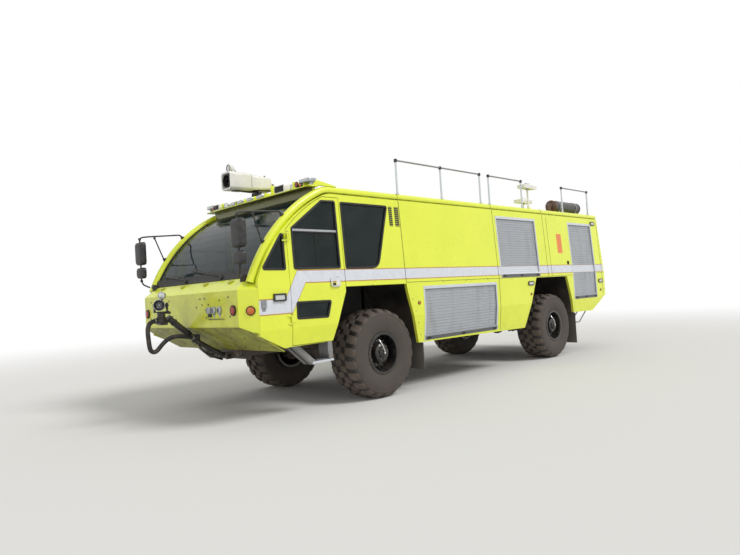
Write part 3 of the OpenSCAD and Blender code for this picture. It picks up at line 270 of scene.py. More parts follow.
def piece(name, bm, finishes, body=ROOT, angle=38):
    """Close a bmesh into a named piece that rides on a body."""
    bmesh.ops.remove_doubles(bm, verts=bm.verts, dist=1e-6)
    bmesh.ops.recalc_face_normals(bm, faces=bm.faces)
    mesh = bpy.data.meshes.new(name)
    bm.to_mesh(mesh)
    bm.free()
    finishes = finishes if isinstance(finishes, list) else [finishes]
    return keep(name, mesh, finishes, body, angle)


def keep(name, mesh, finishes, body, angle=38):
    """Put a mesh into the scene as a piece that rides on a body."""
    made = bpy.data.objects.new(name, mesh)
    bpy.context.scene.collection.objects.link(made)
    for finish in finishes:
        mesh.materials.append(FINISHES[finish])
    mesh.shade_smooth()
    mesh.set_sharp_from_angle(angle=math.radians(angle))
    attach(made, body)
    return made


def at(x, y, z):
    """Place in millimetres, counted from the front axle, the middle plane and the ground."""
    return Vector((FRONT_X + x * MM, y * MM, z * MM))


def mm(x, y, z):
    """Offset in millimetres."""
    return Vector((x, y, z)) * MM


def on_side(x, z, out, side):
    """Place on the outer face of one side, lifted off it by out; all in millimetres."""
    return Vector((FRONT_X + x * MM, side * (skin_y(z * MM) + out * MM), z * MM))


def surround(bm, outline, side, lap, width, low, high, edge=4):
    """Frame round an opening in the side: it laps the opening by lap and the skin by width."""
    rings = []
    for grow, out in ((-lap, low), (-lap, high - edge), (edge - lap, high), (width - edge, high),
                      (width, high - edge), (width, low)):
        rings.append([on_side(x, z, out, side) for x, z in grow_outline(outline, grow)])
    loft(bm, rings, wrap=True)


def side_pad(bm, outline, side, low, high, edge=4, finish=0):
    """Flat plate on the side, with softened edges, between two heights off the skin."""
    loft(bm, [[on_side(x, z, out, side) for x, z in grow_outline(outline, grow)]
              for grow, out in ((0, low), (0, high - edge), (-edge, high))], finish=finish)


def side_strip(bm, x0, x1, z0, z1, side, low, high):
    """Bar on the side that follows the folds of the skin between two heights."""
    heights = [z0] + [z / MM for z in (FOLD_Z, BELT_Z) if z0 < z / MM < z1] + [z1]
    loft(bm, [[on_side(x, z, out, side) for x, out in ((x0, low), (x1, low), (x1, high), (x0, high))]
              for z in heights])


def rectangle(x0, x1, z0, z1, radius=0, steps=4):
    """Outline of a rectangle, with rounded corners where a radius is given."""
    made = [(x0, z0), (x1, z0), (x1, z1), (x0, z1)]
    return round_corners(made, radius, steps) if radius else made


def ring_of_points(centre, axis, radius, count, start):
    """Places on a circle for parts that all point along its axis."""
    u, v = frame_across(Vector(axis).normalized())
    return [(Vector(centre) + (u * math.cos(t) + v * math.sin(t)) * radius, axis)
            for t in (start + 2 * math.pi * k / count for k in range(count))]


# Geometry Nodes for pieces that repeat

def repeat_tree():
    """Tree that sets one part on every point of a mesh, turned by the point's own angles."""
    tree = bpy.data.node_groups.new("Set parts on points", "GeometryNodeTree")
    face = tree.interface
    face.new_socket("Points", in_out="INPUT", socket_type="NodeSocketGeometry")
    face.new_socket("Part", in_out="INPUT", socket_type="NodeSocketObject")
    face.new_socket("Scale", in_out="INPUT", socket_type="NodeSocketFloat").default_value = 1.0
    face.new_socket("Finish", in_out="INPUT", socket_type="NodeSocketMaterial")
    face.new_socket("Parts", in_out="OUTPUT", socket_type="NodeSocketGeometry")
    given = add(tree, "NodeGroupInput")
    part = add(tree, "GeometryNodeObjectInfo", {"Object": given.outputs["Part"]})
    turn = add(tree, "GeometryNodeInputNamedAttribute", {"Name": "turn"}, data_type="FLOAT_VECTOR")
    placed = add(tree, "GeometryNodeInstanceOnPoints", {"Points": given.outputs["Points"],
                                                        "Instance": part.outputs["Geometry"],
                                                        "Rotation": turn.outputs[0],
                                                        "Scale": given.outputs["Scale"]})
    real = add(tree, "GeometryNodeRealizeInstances", {"Geometry": placed.outputs[0]})
    done = add(tree, "GeometryNodeSetMaterial", {"Geometry": real.outputs[0],
                                                 "Material": given.outputs["Finish"]})
    add(tree, "NodeGroupOutput", {"Parts": done.outputs[0]})
    return tree


def ring_tree():
    """Tree that sets a count of parts round an axis along Y, each turned to face outwards."""
    tree = bpy.data.node_groups.new("Set parts in a ring", "GeometryNodeTree")
    face = tree.interface
    for name, kind, value in (("Part", "Object", None), ("Count", "Int", 12), ("Radius", "Float", 0.1),
                              ("Start angle", "Float", 0.0), ("Middle", "Vector", None),
                              ("Finish", "Material", None)):
        made = face.new_socket(name, in_out="INPUT", socket_type="NodeSocket" + kind)
        if value is not None:
            made.default_value = value
    face.new_socket("Parts", in_out="OUTPUT", socket_type="NodeSocketGeometry")
    given = add(tree, "NodeGroupInput")
    part = add(tree, "GeometryNodeObjectInfo", {"Object": given.outputs["Part"]})
    ring = add(tree, "GeometryNodeMeshLine", {"Count": given.outputs["Count"], "Offset": (0, 0, 0)})
    index = add(tree, "GeometryNodeInputIndex")
    share = add(tree, "ShaderNodeMath", {0: index.outputs[0], 1: given.outputs["Count"]}, operation="DIVIDE")
    angle = add(tree, "ShaderNodeMath", {0: share.outputs[0], 1: 2 * math.pi,
                                         2: given.outputs["Start angle"]}, operation="MULTIPLY_ADD")
    turn = add(tree, "ShaderNodeCombineXYZ", {1: angle.outputs[0]})
    placed = add(tree, "GeometryNodeInstanceOnPoints", {"Points": ring.outputs[0],
                                                        "Instance": part.outputs["Geometry"],
                                                        "Rotation": turn.outputs[0]})
    out = add(tree, "ShaderNodeCombineXYZ", {2: given.outputs["Radius"]})
    pushed = add(tree, "GeometryNodeTranslateInstances", {"Instances": placed.outputs[0],
                                                          "Translation": out.outputs[0]})
    real = add(tree, "GeometryNodeRealizeInstances", {"Geometry": pushed.outputs[0]})
    moved = add(tree, "GeometryNodeTransform", {"Geometry": real.outputs[0],
                                                "Translation": given.outputs["Middle"]})
    done = add(tree, "GeometryNodeSetMaterial", {"Geometry": moved.outputs[0],
                                                 "Material": given.outputs["Finish"]})
    add(tree, "NodeGroupOutput", {"Parts": done.outputs[0]})
    return tree


def grown(name, base, tree, values, finish, body):
    """Run a Geometry Nodes tree on a base mesh and keep the result as a plain piece."""
    holder = bpy.data.objects.new(name + "_base", base)
    bpy.context.scene.collection.objects.link(holder)
    modifier = holder.modifiers.new("Repeat", "NODES")
    modifier.node_group = tree
    values = dict(values, Finish=FINISHES[finish])
    for item in tree.interface.items_tree:
        if item.in_out == "INPUT" and item.name in values:
            modifier[item.identifier] = values[item.name]
    bpy.context.view_layer.update()
    evaluated = holder.evaluated_get(bpy.context.evaluated_depsgraph_get())
    mesh = bpy.data.meshes.new_from_object(evaluated)
    mesh.name = name
    bpy.data.objects.remove(holder)
    mesh.validate()
    return keep(name, mesh, [], body)


def part_for_repeats(name, bm):
    """Loose part that a Geometry Nodes tree repeats; it is removed after use."""
    bmesh.ops.recalc_face_normals(bm, faces=bm.faces)
    mesh = bpy.data.meshes.new(name)
    bm.to_mesh(mesh)
    bm.free()
    return bpy.data.objects.new(name, mesh)


def on_points(name, part, places, finish, body=ROOT, scale=1.0):
    """Repeat a part at (point, outward direction) places; the part's own outward way is +Z."""
    base = bpy.data.meshes.new(name + "_points")
    base.from_pydata([tuple(p) for p, _ in places], [], [])
    turn = base.attributes.new("turn", "FLOAT_VECTOR", "POINT")
    for i, (_, way) in enumerate(places):
        turn.data[i].vector = Vector(way).to_track_quat("Z", "Y").to_euler()
    return grown(name, base, TREES["points"], {"Part": part, "Scale": scale}, finish,
                 body)


def in_ring(name, part, count, radius, centre, finish, body, start=0.0):
    """Repeat a part in a ring round a wheel's axis."""
    base = bpy.data.meshes.new(name + "_seat")
    return grown(name, base, TREES["ring"], {"Part": part, "Count": count, "Radius": radius,
                                             "Start angle": start, "Middle": tuple(centre)},
                 finish, body)


def bolt_head(size):
    """Hexagon screw head on its washer, pointing along +Z; its size is in millimetres."""
    bm = bmesh.new()
    turned(bm, [(0, 0), (size * 0.95, 0), (size * 0.95, size * 0.16), (size * 0.7, size * 0.2)],
           (0, 0, 0), (0, 0, 1), 12)
    turned(bm, [(size * 0.56, size * 0.18), (size * 0.56, size * 0.62), (size * 0.44, size * 0.72),
                (0, size * 0.72)], (0, 0, 0), (0, 0, 1), 6)
    return part_for_repeats("bolt_head", bm)


def rivet_head(size):
    """Low round head, pointing along +Z; its size is in millimetres."""
    bm = bmesh.new()
    turned(bm, [(size, 0), (size * 0.86, size * 0.3), (size * 0.5, size * 0.5), (0, size * 0.56)],
           (0, 0, 0), (0, 0, 1), 10)
    return part_for_repeats("rivet_head", bm)


# Materials

def start_finish(name):
    """New material with its Principled shader, ready for a pattern."""
    made = bpy.data.materials.new(name)
    made.use_nodes = True
    made.node_tree.nodes.clear()
    shader = add(made.node_tree, "ShaderNodeBsdfPrincipled")
    add(made.node_tree, "ShaderNodeOutputMaterial", {"Surface": shader.outputs[0]})
    return made, made.node_tree, shader


def place(tree):
    return add(tree, "ShaderNodeTexCoord").outputs["Object"]


def speckle(tree, at, size_mm, detail=4.0, stretch=(1, 1, 1)):
    """Noise whose blotches are about size_mm across."""
    spread = add(tree, "ShaderNodeMapping", {"Vector": at, "Scale": stretch})
    return add(tree, "ShaderNodeTexNoise", {"Vector": spread.outputs[0], "Scale": 1000.0 / size_mm,
                                            "Detail": detail, "Roughness": 0.55}).outputs["Fac"]


def ramp(tree, value, low, high, out_low=0.0, out_high=1.0, smooth=True):
    """Value carried from one range to another and held at its ends."""
    return add(tree, "ShaderNodeMapRange", {"Value": value, "From Min": low, "From Max": high,
                                            "To Min": out_low, "To Max": out_high},
               interpolation_type="SMOOTHSTEP" if smooth else "LINEAR").outputs[0]


def calc(tree, operation, a, b=0.0, c=0.0):
    return add(tree, "ShaderNodeMath", {0: a, 1: b, 2: c}, operation=operation).outputs[0]


def tint(tree, share, low, high):
    """Colour mix; low and high are colours or sockets."""
    return add(tree, "ShaderNodeMix", {0: share, 6: low, 7: high}, data_type="RGBA").outputs[2]


def raise_surface(tree, shader, height, depth_mm, strength=1.0):
    bump = add(tree, "ShaderNodeBump", {"Height": height, "Distance": depth_mm * MM, "Strength": strength})
    fill(tree, shader, {"Normal": bump.outputs[0]})


DUST = "#8A7B6A"


def plain_finish(name, colour, rough, metallic=0.0, dust=0.0, grain_mm=30, bump_mm=0.0, coat=0.0, vary=0.12,
                 rough_vary=0.12, dust_low=False):
    """Base recipe: a colour with blotches of wear, a film of dust and a fine relief."""
    made, tree, shader = start_finish(name)
    at = place(tree)
    blotch = speckle(tree, at, grain_mm)
    base = hex_colour(colour)
    dark = tuple(c * (1 - vary) for c in base[:3]) + (1,)
    light = tuple(min(c * (1 + vary), 1) for c in base[:3]) + (1,)
    shade = tint(tree, ramp(tree, blotch, 0.3, 0.7), dark, light)
    film = ramp(tree, speckle(tree, at, grain_mm * 7, 5), 0.35, 0.75)
    if dust_low:
        height = add(tree, "ShaderNodeSeparateXYZ", {0: at}).outputs[2]
        film = calc(tree, "MULTIPLY_ADD", film, 0.5, ramp(tree, height, 1.5, 0.6, 0, 0.6))
    film = calc(tree, "MULTIPLY", film, dust)
    shade = tint(tree, film, shade, hex_colour(DUST))
    roughness = ramp(tree, blotch, 0.2, 0.8, max(rough - rough_vary, 0.02), min(rough + rough_vary, 1))
    fill(tree, shader, {"Base Color": shade, "Roughness": calc(tree, "MULTIPLY_ADD", film, 0.5, roughness),
                        "Metallic": metallic, "Coat Weight": coat})
    if bump_mm:
        raise_surface(tree, shader, speckle(tree, at, grain_mm * 0.2, 3), bump_mm)
    return made


# Reflective band. Its edges step down through the door: from and to along, from and to in height
BAND_EDGES = ((1.611, 1.826, 1.934, 1.573), (1.490, 1.727, 1.775, 1.388))
BAND_Z = 1.8525
BAND_GOLD, BAND_SILVER = "#B07A3A", "#D3D6DC"


def vehicle_enamel():
    """Lime-yellow two-pack enamel over sheet metal, sprayed and glossy, with a silver reflective
    band, its thin gold edges, road dust low down, and painted shade on the nose's front face, on faces
    that point downwards and on the header under the brow: smooth colour, soft highlights."""
    paint = bpy.context.scene.truck_paint
    made, tree, shader = start_finish("lime_vehicle_enamel")
    at = place(tree)
    xyz = add(tree, "ShaderNodeSeparateXYZ", {0: at})
    x, y, z = xyz.outputs
    lime = tuple(paint.body) + (1,)
    deep = tuple(c * f for c, f in zip(paint.body, (0.95, 0.965, 0.90))) + (1,)
    shade = tint(tree, ramp(tree, speckle(tree, at, 420, 3), 0.3, 0.7), deep, lime)
    # Painted shade, in blotches, on the flat front face of the nose
    normal = add(tree, "ShaderNodeSeparateXYZ",
                 {0: add(tree, "ShaderNodeNewGeometry").outputs["True Normal"]}).outputs
    face = calc(tree, "MULTIPLY", calc(tree, "GREATER_THAN", normal[0], 0.9), ramp(tree, z, 1.78, 1.70))
    face = calc(tree, "MULTIPLY", face, ramp(tree, speckle(tree, at, 160, 5), 0.2, 0.8, 0.30, 0.62))
    shade = tint(tree, face, shade, hex_colour("#A8A53A"))
    # Painted shade on faces that point downwards, the belly and the underside of the brow, with some oily
    # dirt
    underside_shade_and_dirt = calc(tree, "MULTIPLY", ramp(tree, normal[2], -0.45, -0.62),
                 ramp(tree, speckle(tree, at, 200, 5), 0.25, 0.75, 0.62, 0.92))
    shade = tint(tree, underside_shade_and_dirt, shade, hex_colour("#5E5A20"))
    # Painted shadow of the brow on the header between the brow and the screen, with some dirt: it stays dark
    header_shade_and_dirt = calc(tree, "GREATER_THAN", x, FRONT_X + 0.80)
    for test, value, limit in (("LESS_THAN", calc(tree, "ABSOLUTE", y), 1.325), ("GREATER_THAN", z, 2.955),
                               ("LESS_THAN", z, TUBE_Z + 0.038), ("LESS_THAN", normal[2], 0.75)):
        header_shade_and_dirt = calc(tree, "MULTIPLY", header_shade_and_dirt, calc(tree, test, value, limit))
    shade = tint(tree, calc(tree, "MULTIPLY", header_shade_and_dirt, 0.90), shade, hex_colour("#3E3C14"))
    # Road dust gathers below the belt
    low = calc(tree, "MULTIPLY", ramp(tree, z, 1.45, 0.70), ramp(tree, speckle(tree, at, 150), 0.3, 0.8))
    shade = tint(tree, calc(tree, "MULTIPLY", low, paint.dust), shade, hex_colour("#A39A6C"))
    # Reflective band: its upper and lower edges step down through the door
    top, bottom = (ramp(tree, x, FRONT_X + x0, FRONT_X + x1, z0, z1, smooth=False)
                   for x0, x1, z0, z1 in BAND_EDGES)
    outside = calc(tree, "GREATER_THAN", calc(tree, "ABSOLUTE", y), HALF_W - 0.035)
    reach = calc(tree, "MULTIPLY", calc(tree, "LESS_THAN", x, FRONT_X + 2.236),
                 calc(tree, "GREATER_THAN", x, TAIL_X + 0.045))
    outside = calc(tree, "MULTIPLY", outside, reach)
    below_top, above_bottom = calc(tree, "SUBTRACT", top, z), calc(tree, "SUBTRACT", z, bottom)
    inside = calc(tree, "MINIMUM", below_top, above_bottom)
    band = calc(tree, "MULTIPLY", outside, calc(tree, "GREATER_THAN", inside, 0.0))
    edge = calc(tree, "MULTIPLY", outside, calc(tree, "LESS_THAN",
                                                calc(tree, "ABSOLUTE", calc(tree, "ADD", inside, 0.004)),
                                                0.007))
    film = tint(tree, ramp(tree, speckle(tree, at, 90, 4), 0.3, 0.75), tuple(paint.band) + (1,),
                hex_colour("#C8CCD3"))
    shade = tint(tree, band, shade, film)
    shade = tint(tree, edge, shade, hex_colour(BAND_GOLD))
    rough = calc(tree, "MULTIPLY_ADD", low, 0.35, ramp(tree, speckle(tree, at, 300), 0.3, 0.8, 0.26, 0.34))
    rough = calc(tree, "MULTIPLY_ADD", underside_shade_and_dirt, 0.4, calc(tree, "MULTIPLY_ADD", band, 0.12, rough))
    fill(tree, shader, {"Base Color": shade, "Roughness": rough, "Coat Weight": 0.25, "Coat Roughness": 0.12})
    # Sheet metal waves slightly between its frames
    raise_surface(tree, shader, speckle(tree, at, 700, 2), 2.0, 0.35)
    return made


def tyre_rubber():
    """Moulded tyre rubber with carbon black, dulled by dried mud on the lugs and walls, with painted shade
    down in the grooves: dark walls, dusty brown tread.
    """
    made, tree, shader = start_finish("moulded_tyre_rubber")
    at = place(tree)
    lug_or_groove = add(tree, "ShaderNodeAttribute", attribute_name="tread").outputs["Fac"]
    grain = speckle(tree, at, 8, 5)
    patch = speckle(tree, at, 120, 6)
    shade = tint(tree, grain, hex_colour("#1E1D1C"), hex_colour("#343230"))
    # The attribute is -1 down in the grooves, 0 on the walls and 1 on the lugs
    # Mud lies thickest on the lugs and is mostly left out of the grooves, so their floor stays dark: painted
    # shade in the grooves
    mud_and_groove_shade = calc(tree, "MULTIPLY", ramp(tree, patch, 0.25, 0.75, 0.62, 1.0),
               calc(tree, "MULTIPLY_ADD", calc(tree, "MAXIMUM", lug_or_groove, 0.0), 0.45,
                    calc(tree, "MULTIPLY_ADD", calc(tree, "MINIMUM", lug_or_groove, 0.0), 0.42, 0.50)))
    shade = tint(tree, mud_and_groove_shade, shade, tint(tree, grain, hex_colour("#4C453F"), hex_colour("#776A5E")))
    fill(tree, shader, {"Base Color": shade, "Roughness": ramp(tree, mud_and_groove_shade, 0.0, 0.7, 0.62, 0.95)})
    raise_surface(tree, shader, grain, 1.2, 0.7)
    return made


def clear_glass(name, colour, alpha):
    """Tinted float glass: dark blue-green body with sharp white reflections and a wipe of dust."""
    made, tree, shader = start_finish(name)
    at = place(tree)
    film = ramp(tree, speckle(tree, at, 260, 5), 0.40, 0.85, 0.0, 0.04)
    fill(tree, shader, {"Base Color": tint(tree, film, hex_colour(colour), hex_colour("#9FA9A6")),
                        "Roughness": calc(tree, "ADD", film, 0.012), "Alpha": calc(tree, "ADD", film, alpha),
                        "IOR": 1.52, "Specular IOR Level": 0.28})
    made.surface_render_method = "BLENDED"
    return made


# Sets the lamp flutes about 10 mm apart
FLUTE_SCALE = 35.3677


def lamp_lens(name, colour, metallic=0.0):
    """Moulded polycarbonate lens with fine slanting flutes over a bright reflector."""
    made, tree, shader = start_finish(name)
    at = place(tree)
    flutes = add(tree, "ShaderNodeTexWave", {"Vector": at, "Scale": FLUTE_SCALE, "Distortion": 0.0},
                 bands_direction="DIAGONAL").outputs[1]
    base = hex_colour(colour)
    dark = tuple(c * 0.7 for c in base[:3]) + (1,)
    fill(tree, shader, {"Base Color": tint(tree, flutes, dark, base), "Roughness": 0.18, "Metallic": metallic,
                        "Coat Weight": 0.35, "Coat Roughness": 0.05})
    raise_surface(tree, shader, flutes, 0.8, 0.6)
    return made


def roller_aluminium():
    """Anodised aluminium slats of a roller shutter: satin grey with faint rain marks."""
    made, tree, shader = start_finish("anodised_roller_aluminium")
    at = place(tree)
    brush = speckle(tree, at, 14, 5, stretch=(0.06, 1, 1))
    marks = speckle(tree, at, 130, 5, stretch=(1, 1, 0.2))
    shade = tint(tree, brush, hex_colour("#969A9F"), hex_colour("#B0B3B7"))
    shade = tint(tree, ramp(tree, marks, 0.48, 0.8, 0, 0.35), shade, hex_colour("#76776F"))
    # The reflective band runs on over the upper shutters
    z = add(tree, "ShaderNodeSeparateXYZ", {0: at}).outputs[2]
    far = calc(tree, "ABSOLUTE", calc(tree, "SUBTRACT", z, BAND_Z))
    shade = tint(tree, calc(tree, "LESS_THAN", far, 0.082), shade, hex_colour(BAND_GOLD))
    shade = tint(tree, calc(tree, "LESS_THAN", far, 0.0775), shade, hex_colour(BAND_SILVER))
    fill(tree, shader, {"Base Color": shade, "Roughness": ramp(tree, marks, 0.2, 0.8, 0.36, 0.60),
                        "Metallic": 0.35})
    return made


def seat_cloth():
    """Woven polyester seat cover, charcoal, whose twill is drawn at 12 mm so that it shows."""
    made, tree, shader = start_finish("woven_seat_polyester")
    at = place(tree)
    weave = [add(tree, "ShaderNodeTexWave", {"Vector": at, "Scale": 26.0, "Distortion": 1.0},
                 bands_direction=way).outputs[1] for way in ("Y", "Z")]
    both = calc(tree, "MULTIPLY", weave[0], weave[1])
    fill(tree, shader, {"Base Color": tint(tree, both, hex_colour("#1C1D20"), hex_colour("#3A3C42")),
                        "Roughness": 0.92, "Sheen Weight": 0.3})
    raise_surface(tree, shader, both, 1.0, 0.6)
    return made


def heated_steel():
    """Aluminised steel of the exhaust: grey, browned by heat and spotted with rust at its ends."""
    made, tree, shader = start_finish("heat_stained_aluminised_steel")
    at = place(tree)
    x = add(tree, "ShaderNodeSeparateXYZ", {0: at}).outputs[0]
    patch = speckle(tree, at, 60, 6)
    ends = ramp(tree, x, REAR_X - 0.98, REAR_X - 0.84)
    rust = calc(tree, "MULTIPLY", ramp(tree, patch, 0.30, 0.62), calc(tree, "MULTIPLY_ADD", ends, 0.9, 0.06))
    shade = tint(tree, patch, hex_colour("#4C4B4A"), hex_colour("#6C6A68"))
    fill(tree, shader, {"Base Color": tint(tree, rust, shade, hex_colour("#6B4431")),
                        "Roughness": ramp(tree, rust, 0.0, 0.8, 0.42, 0.9),
                        "Metallic": ramp(tree, rust, 0.0, 0.6, 0.8, 0.0)})
    raise_surface(tree, shader, patch, 1.0, 0.4)
    return made


FINISHES = {}
TREES = {}


def make_finishes():
    FINISHES.update({
        "enamel": vehicle_enamel(),
        "white_enamel": plain_finish("white_polyester_powder_coat", "#E9E7E1", 0.34, dust=0.16,
                                     grain_mm=90, vary=0.04, coat=0.15, bump_mm=0.2),
        # Darker copy of the body's lime with some dust: painted shade for the tabs under the screen's foot
        "olive_enamel": plain_finish("lime_enamel_painted_shade_and_dust", "#B4B53C", 0.5, dust=0.3,
                                     grain_mm=60, vary=0.15, bump_mm=0.2),
        "chassis_enamel": plain_finish("black_chassis_enamel", "#1B1B1D", 0.45, dust=0.45,
                                       grain_mm=60, bump_mm=0.5, dust_low=True),
        "wheel_enamel": plain_finish("black_wheel_enamel", "#141416", 0.30, dust=0.22, grain_mm=40,
                                     coat=0.3, bump_mm=0.2),
        "casting": plain_finish("black_painted_bronze_casting", "#1A1A1C", 0.38, dust=0.15,
                                grain_mm=25, bump_mm=0.6, coat=0.1),
        "tyre_rubber": tyre_rubber(),
        "seal_rubber": plain_finish("extruded_seal_rubber", "#0B0B0C", 0.55, dust=0.05, grain_mm=20,
                                    bump_mm=0.2),
        "hose_rubber": plain_finish("wrapped_hose_rubber", "#161617", 0.62, dust=0.22, grain_mm=14,
                                    bump_mm=0.5),
        "flap_rubber": plain_finish("moulded_flap_rubber", "#4A4B4B", 0.75, dust=0.25, grain_mm=50,
                                    bump_mm=0.4, dust_low=True),
        "black_plastic": plain_finish("moulded_black_ABS", "#1C1D1F", 0.50, dust=0.12, grain_mm=10,
                                      bump_mm=0.25),
        "lining": plain_finish("moulded_grey_cab_lining", "#2A2C2E", 0.70, dust=0.08, grain_mm=12,
                               bump_mm=0.3),
        "aluminium": plain_finish("mill_finish_aluminium", "#A9ACAF", 0.40, metallic=0.85, dust=0.12,
                                  grain_mm=24, bump_mm=0.15),
        "rail_tube": plain_finish("anodised_rail_tube", "#CBD0D5", 0.36, metallic=0.25, dust=0.06,
                                  grain_mm=30, vary=0.05),
        "bar_steel": plain_finish("dark_anodised_bar", "#5A5D61", 0.45, metallic=0.4, dust=0.2),
        "sign_film": plain_finish("orange_reflective_film", "#E07A35", 0.42, grain_mm=50, vary=0.08,
                                  coat=0.2),
        "galvanised": plain_finish("galvanised_step_steel", "#8E9194", 0.48, metallic=0.6, dust=0.35,
                                   grain_mm=18, vary=0.2, bump_mm=0.2, dust_low=True),
        "chrome": plain_finish("chromed_brass", "#D8DADC", 0.10, metallic=1.0, grain_mm=40, vary=0.04,
                               rough_vary=0.05),
        "zinc_bolt": plain_finish("zinc_plated_bolt_steel", "#77786F", 0.40, metallic=0.8, dust=0.2,
                                  grain_mm=8),
        "roller_aluminium": roller_aluminium(),
        "window_glass": clear_glass("tinted_window_glass", "#0B1B1C", 0.76),
        "screen_glass": clear_glass("tinted_windscreen_glass", "#152C31", 0.52),
        "mirror_glass": plain_finish("silvered_mirror_glass", "#C9D2D6", 0.04, metallic=1.0,
                                     grain_mm=60, vary=0.02, rough_vary=0.02),
        "amber_lens": lamp_lens("amber_polycarbonate_lens", "#D06A12"),
        "red_lens": lamp_lens("red_polycarbonate_lens", "#A81B14"),
        "clear_lens": lamp_lens("clear_polycarbonate_lens", "#D5D8D4", metallic=0.35),
        "seat_cloth": seat_cloth(),
        "heated_steel": heated_steel(),
        "grille_black": plain_finish("black_anodised_mesh", "#101012", 0.50, grain_mm=12),
    })
    TREES.update({"points": repeat_tree(), "ring": ring_tree()})


NODE_FINISHES = {
    "enamel": ["cab_side_left", "cab_side_right", "cab_roof", "cab_rear_wall", "nose", "skid_plate",
               "roof_tubes", "light_bar", "body_left", "body_right", "roof_deck", "rear_panel",
               "door_left", "door_right"],
    "chassis_enamel": ["chassis", "front_axle", "rear_axle", "body_floor", "knuckle_left",
                       "knuckle_right", "tie_rod", "boom", "engine"],
    "wheel_enamel": ["rim_front_left", "rim_front_right", "rim_rear_left", "rim_rear_right"],
    "tyre_rubber": ["tyre_front_left", "tyre_front_right", "tyre_rear_left", "tyre_rear_right"],
    "white_enamel": ["turret", "mast_front", "mast_rear"],
    "casting": ["turret_swivel", "monitor_swivel", "monitor"],
    "window_glass": ["side_glass", "door_left_glass", "door_right_glass"],
    "screen_glass": ["windscreen"],
    "lining": ["cab_floor"],
    "black_plastic": ["dashboard", "mirrors"],
    "seat_cloth": ["seats"],
    "roller_aluminium": ["shutters"],
    "aluminium": ["railings"],
    "galvanised": ["steps"],
    "heated_steel": ["muffler"],
    "flap_rubber": ["mud_flaps"],
    "amber_lens": ["lamps"],
    "hose_rubber": ["hose"],
}


# Sizes and colours a user would change

class TruckPaint(bpy.types.PropertyGroup):
    body: bpy.props.FloatVectorProperty(
        name="Body colour", description="Lime yellow of the cab and body", subtype="COLOR", size=3,
        min=0, max=1, default=hex_colour("#DFE83C")[:3])
    band: bpy.props.FloatVectorProperty(
        name="Band colour", description="Silver of the reflective band", subtype="COLOR", size=3,
        min=0, max=1, default=hex_colour(BAND_SILVER)[:3])
    dust: bpy.props.FloatProperty(
        name="Road dust", description="How much dust lies on the lower body", subtype="FACTOR",
        min=0, max=1, default=0.22)


class TruckTrim(bpy.types.PropertyGroup):
    seal: bpy.props.FloatProperty(
        name="Window seal", description="Width of the rubber round a window", unit="LENGTH",
        default=0.030)
    bolt: bpy.props.FloatProperty(
        name="Bolt head", description="Size of the bolt heads on the nose", unit="LENGTH",
        default=0.014)
    lugs: bpy.props.IntProperty(
        name="Lugs", description="Lug pairs round each tyre", min=12, max=30, default=22)
    flutes: bpy.props.IntProperty(
        name="Vent blades", description="Blades in each body vent", min=4, max=20, default=10)


class TruckStage(bpy.types.PropertyGroup):
    ambient: bpy.props.FloatProperty(
        name="Ambient light", description="Strength of the world's light", min=0, default=0.62)
    key: bpy.props.FloatProperty(
        name="Key light", description="Strength of the large soft lamp", min=0, default=1.75)
    floor: bpy.props.FloatVectorProperty(
        name="Floor colour", description="Colour of the pale floor", subtype="COLOR", size=3,
        min=0, max=1, default=hex_colour("#DAD9D6")[:3])


# Photographed viewpoint: place in metres, turn in degrees, lens for a sensor 36 mm wide
CAMERA_PLACE = (8.6274, 7.7157, 1.5705)
CAMERA_TURN = (91.5874, 3.5121, 135.6951)
CAMERA_LENS = 28.784
# Suns: where they stand, strength and width in degrees; the key's strength is a setting
KEY_WAY, KEY_WIDTH = (-0.30, 0.62, 0.72), 22
FILL_WAY, FILL_POWER, FILL_WIDTH = (0.9, 0.25, 0.35), 0.42, 50


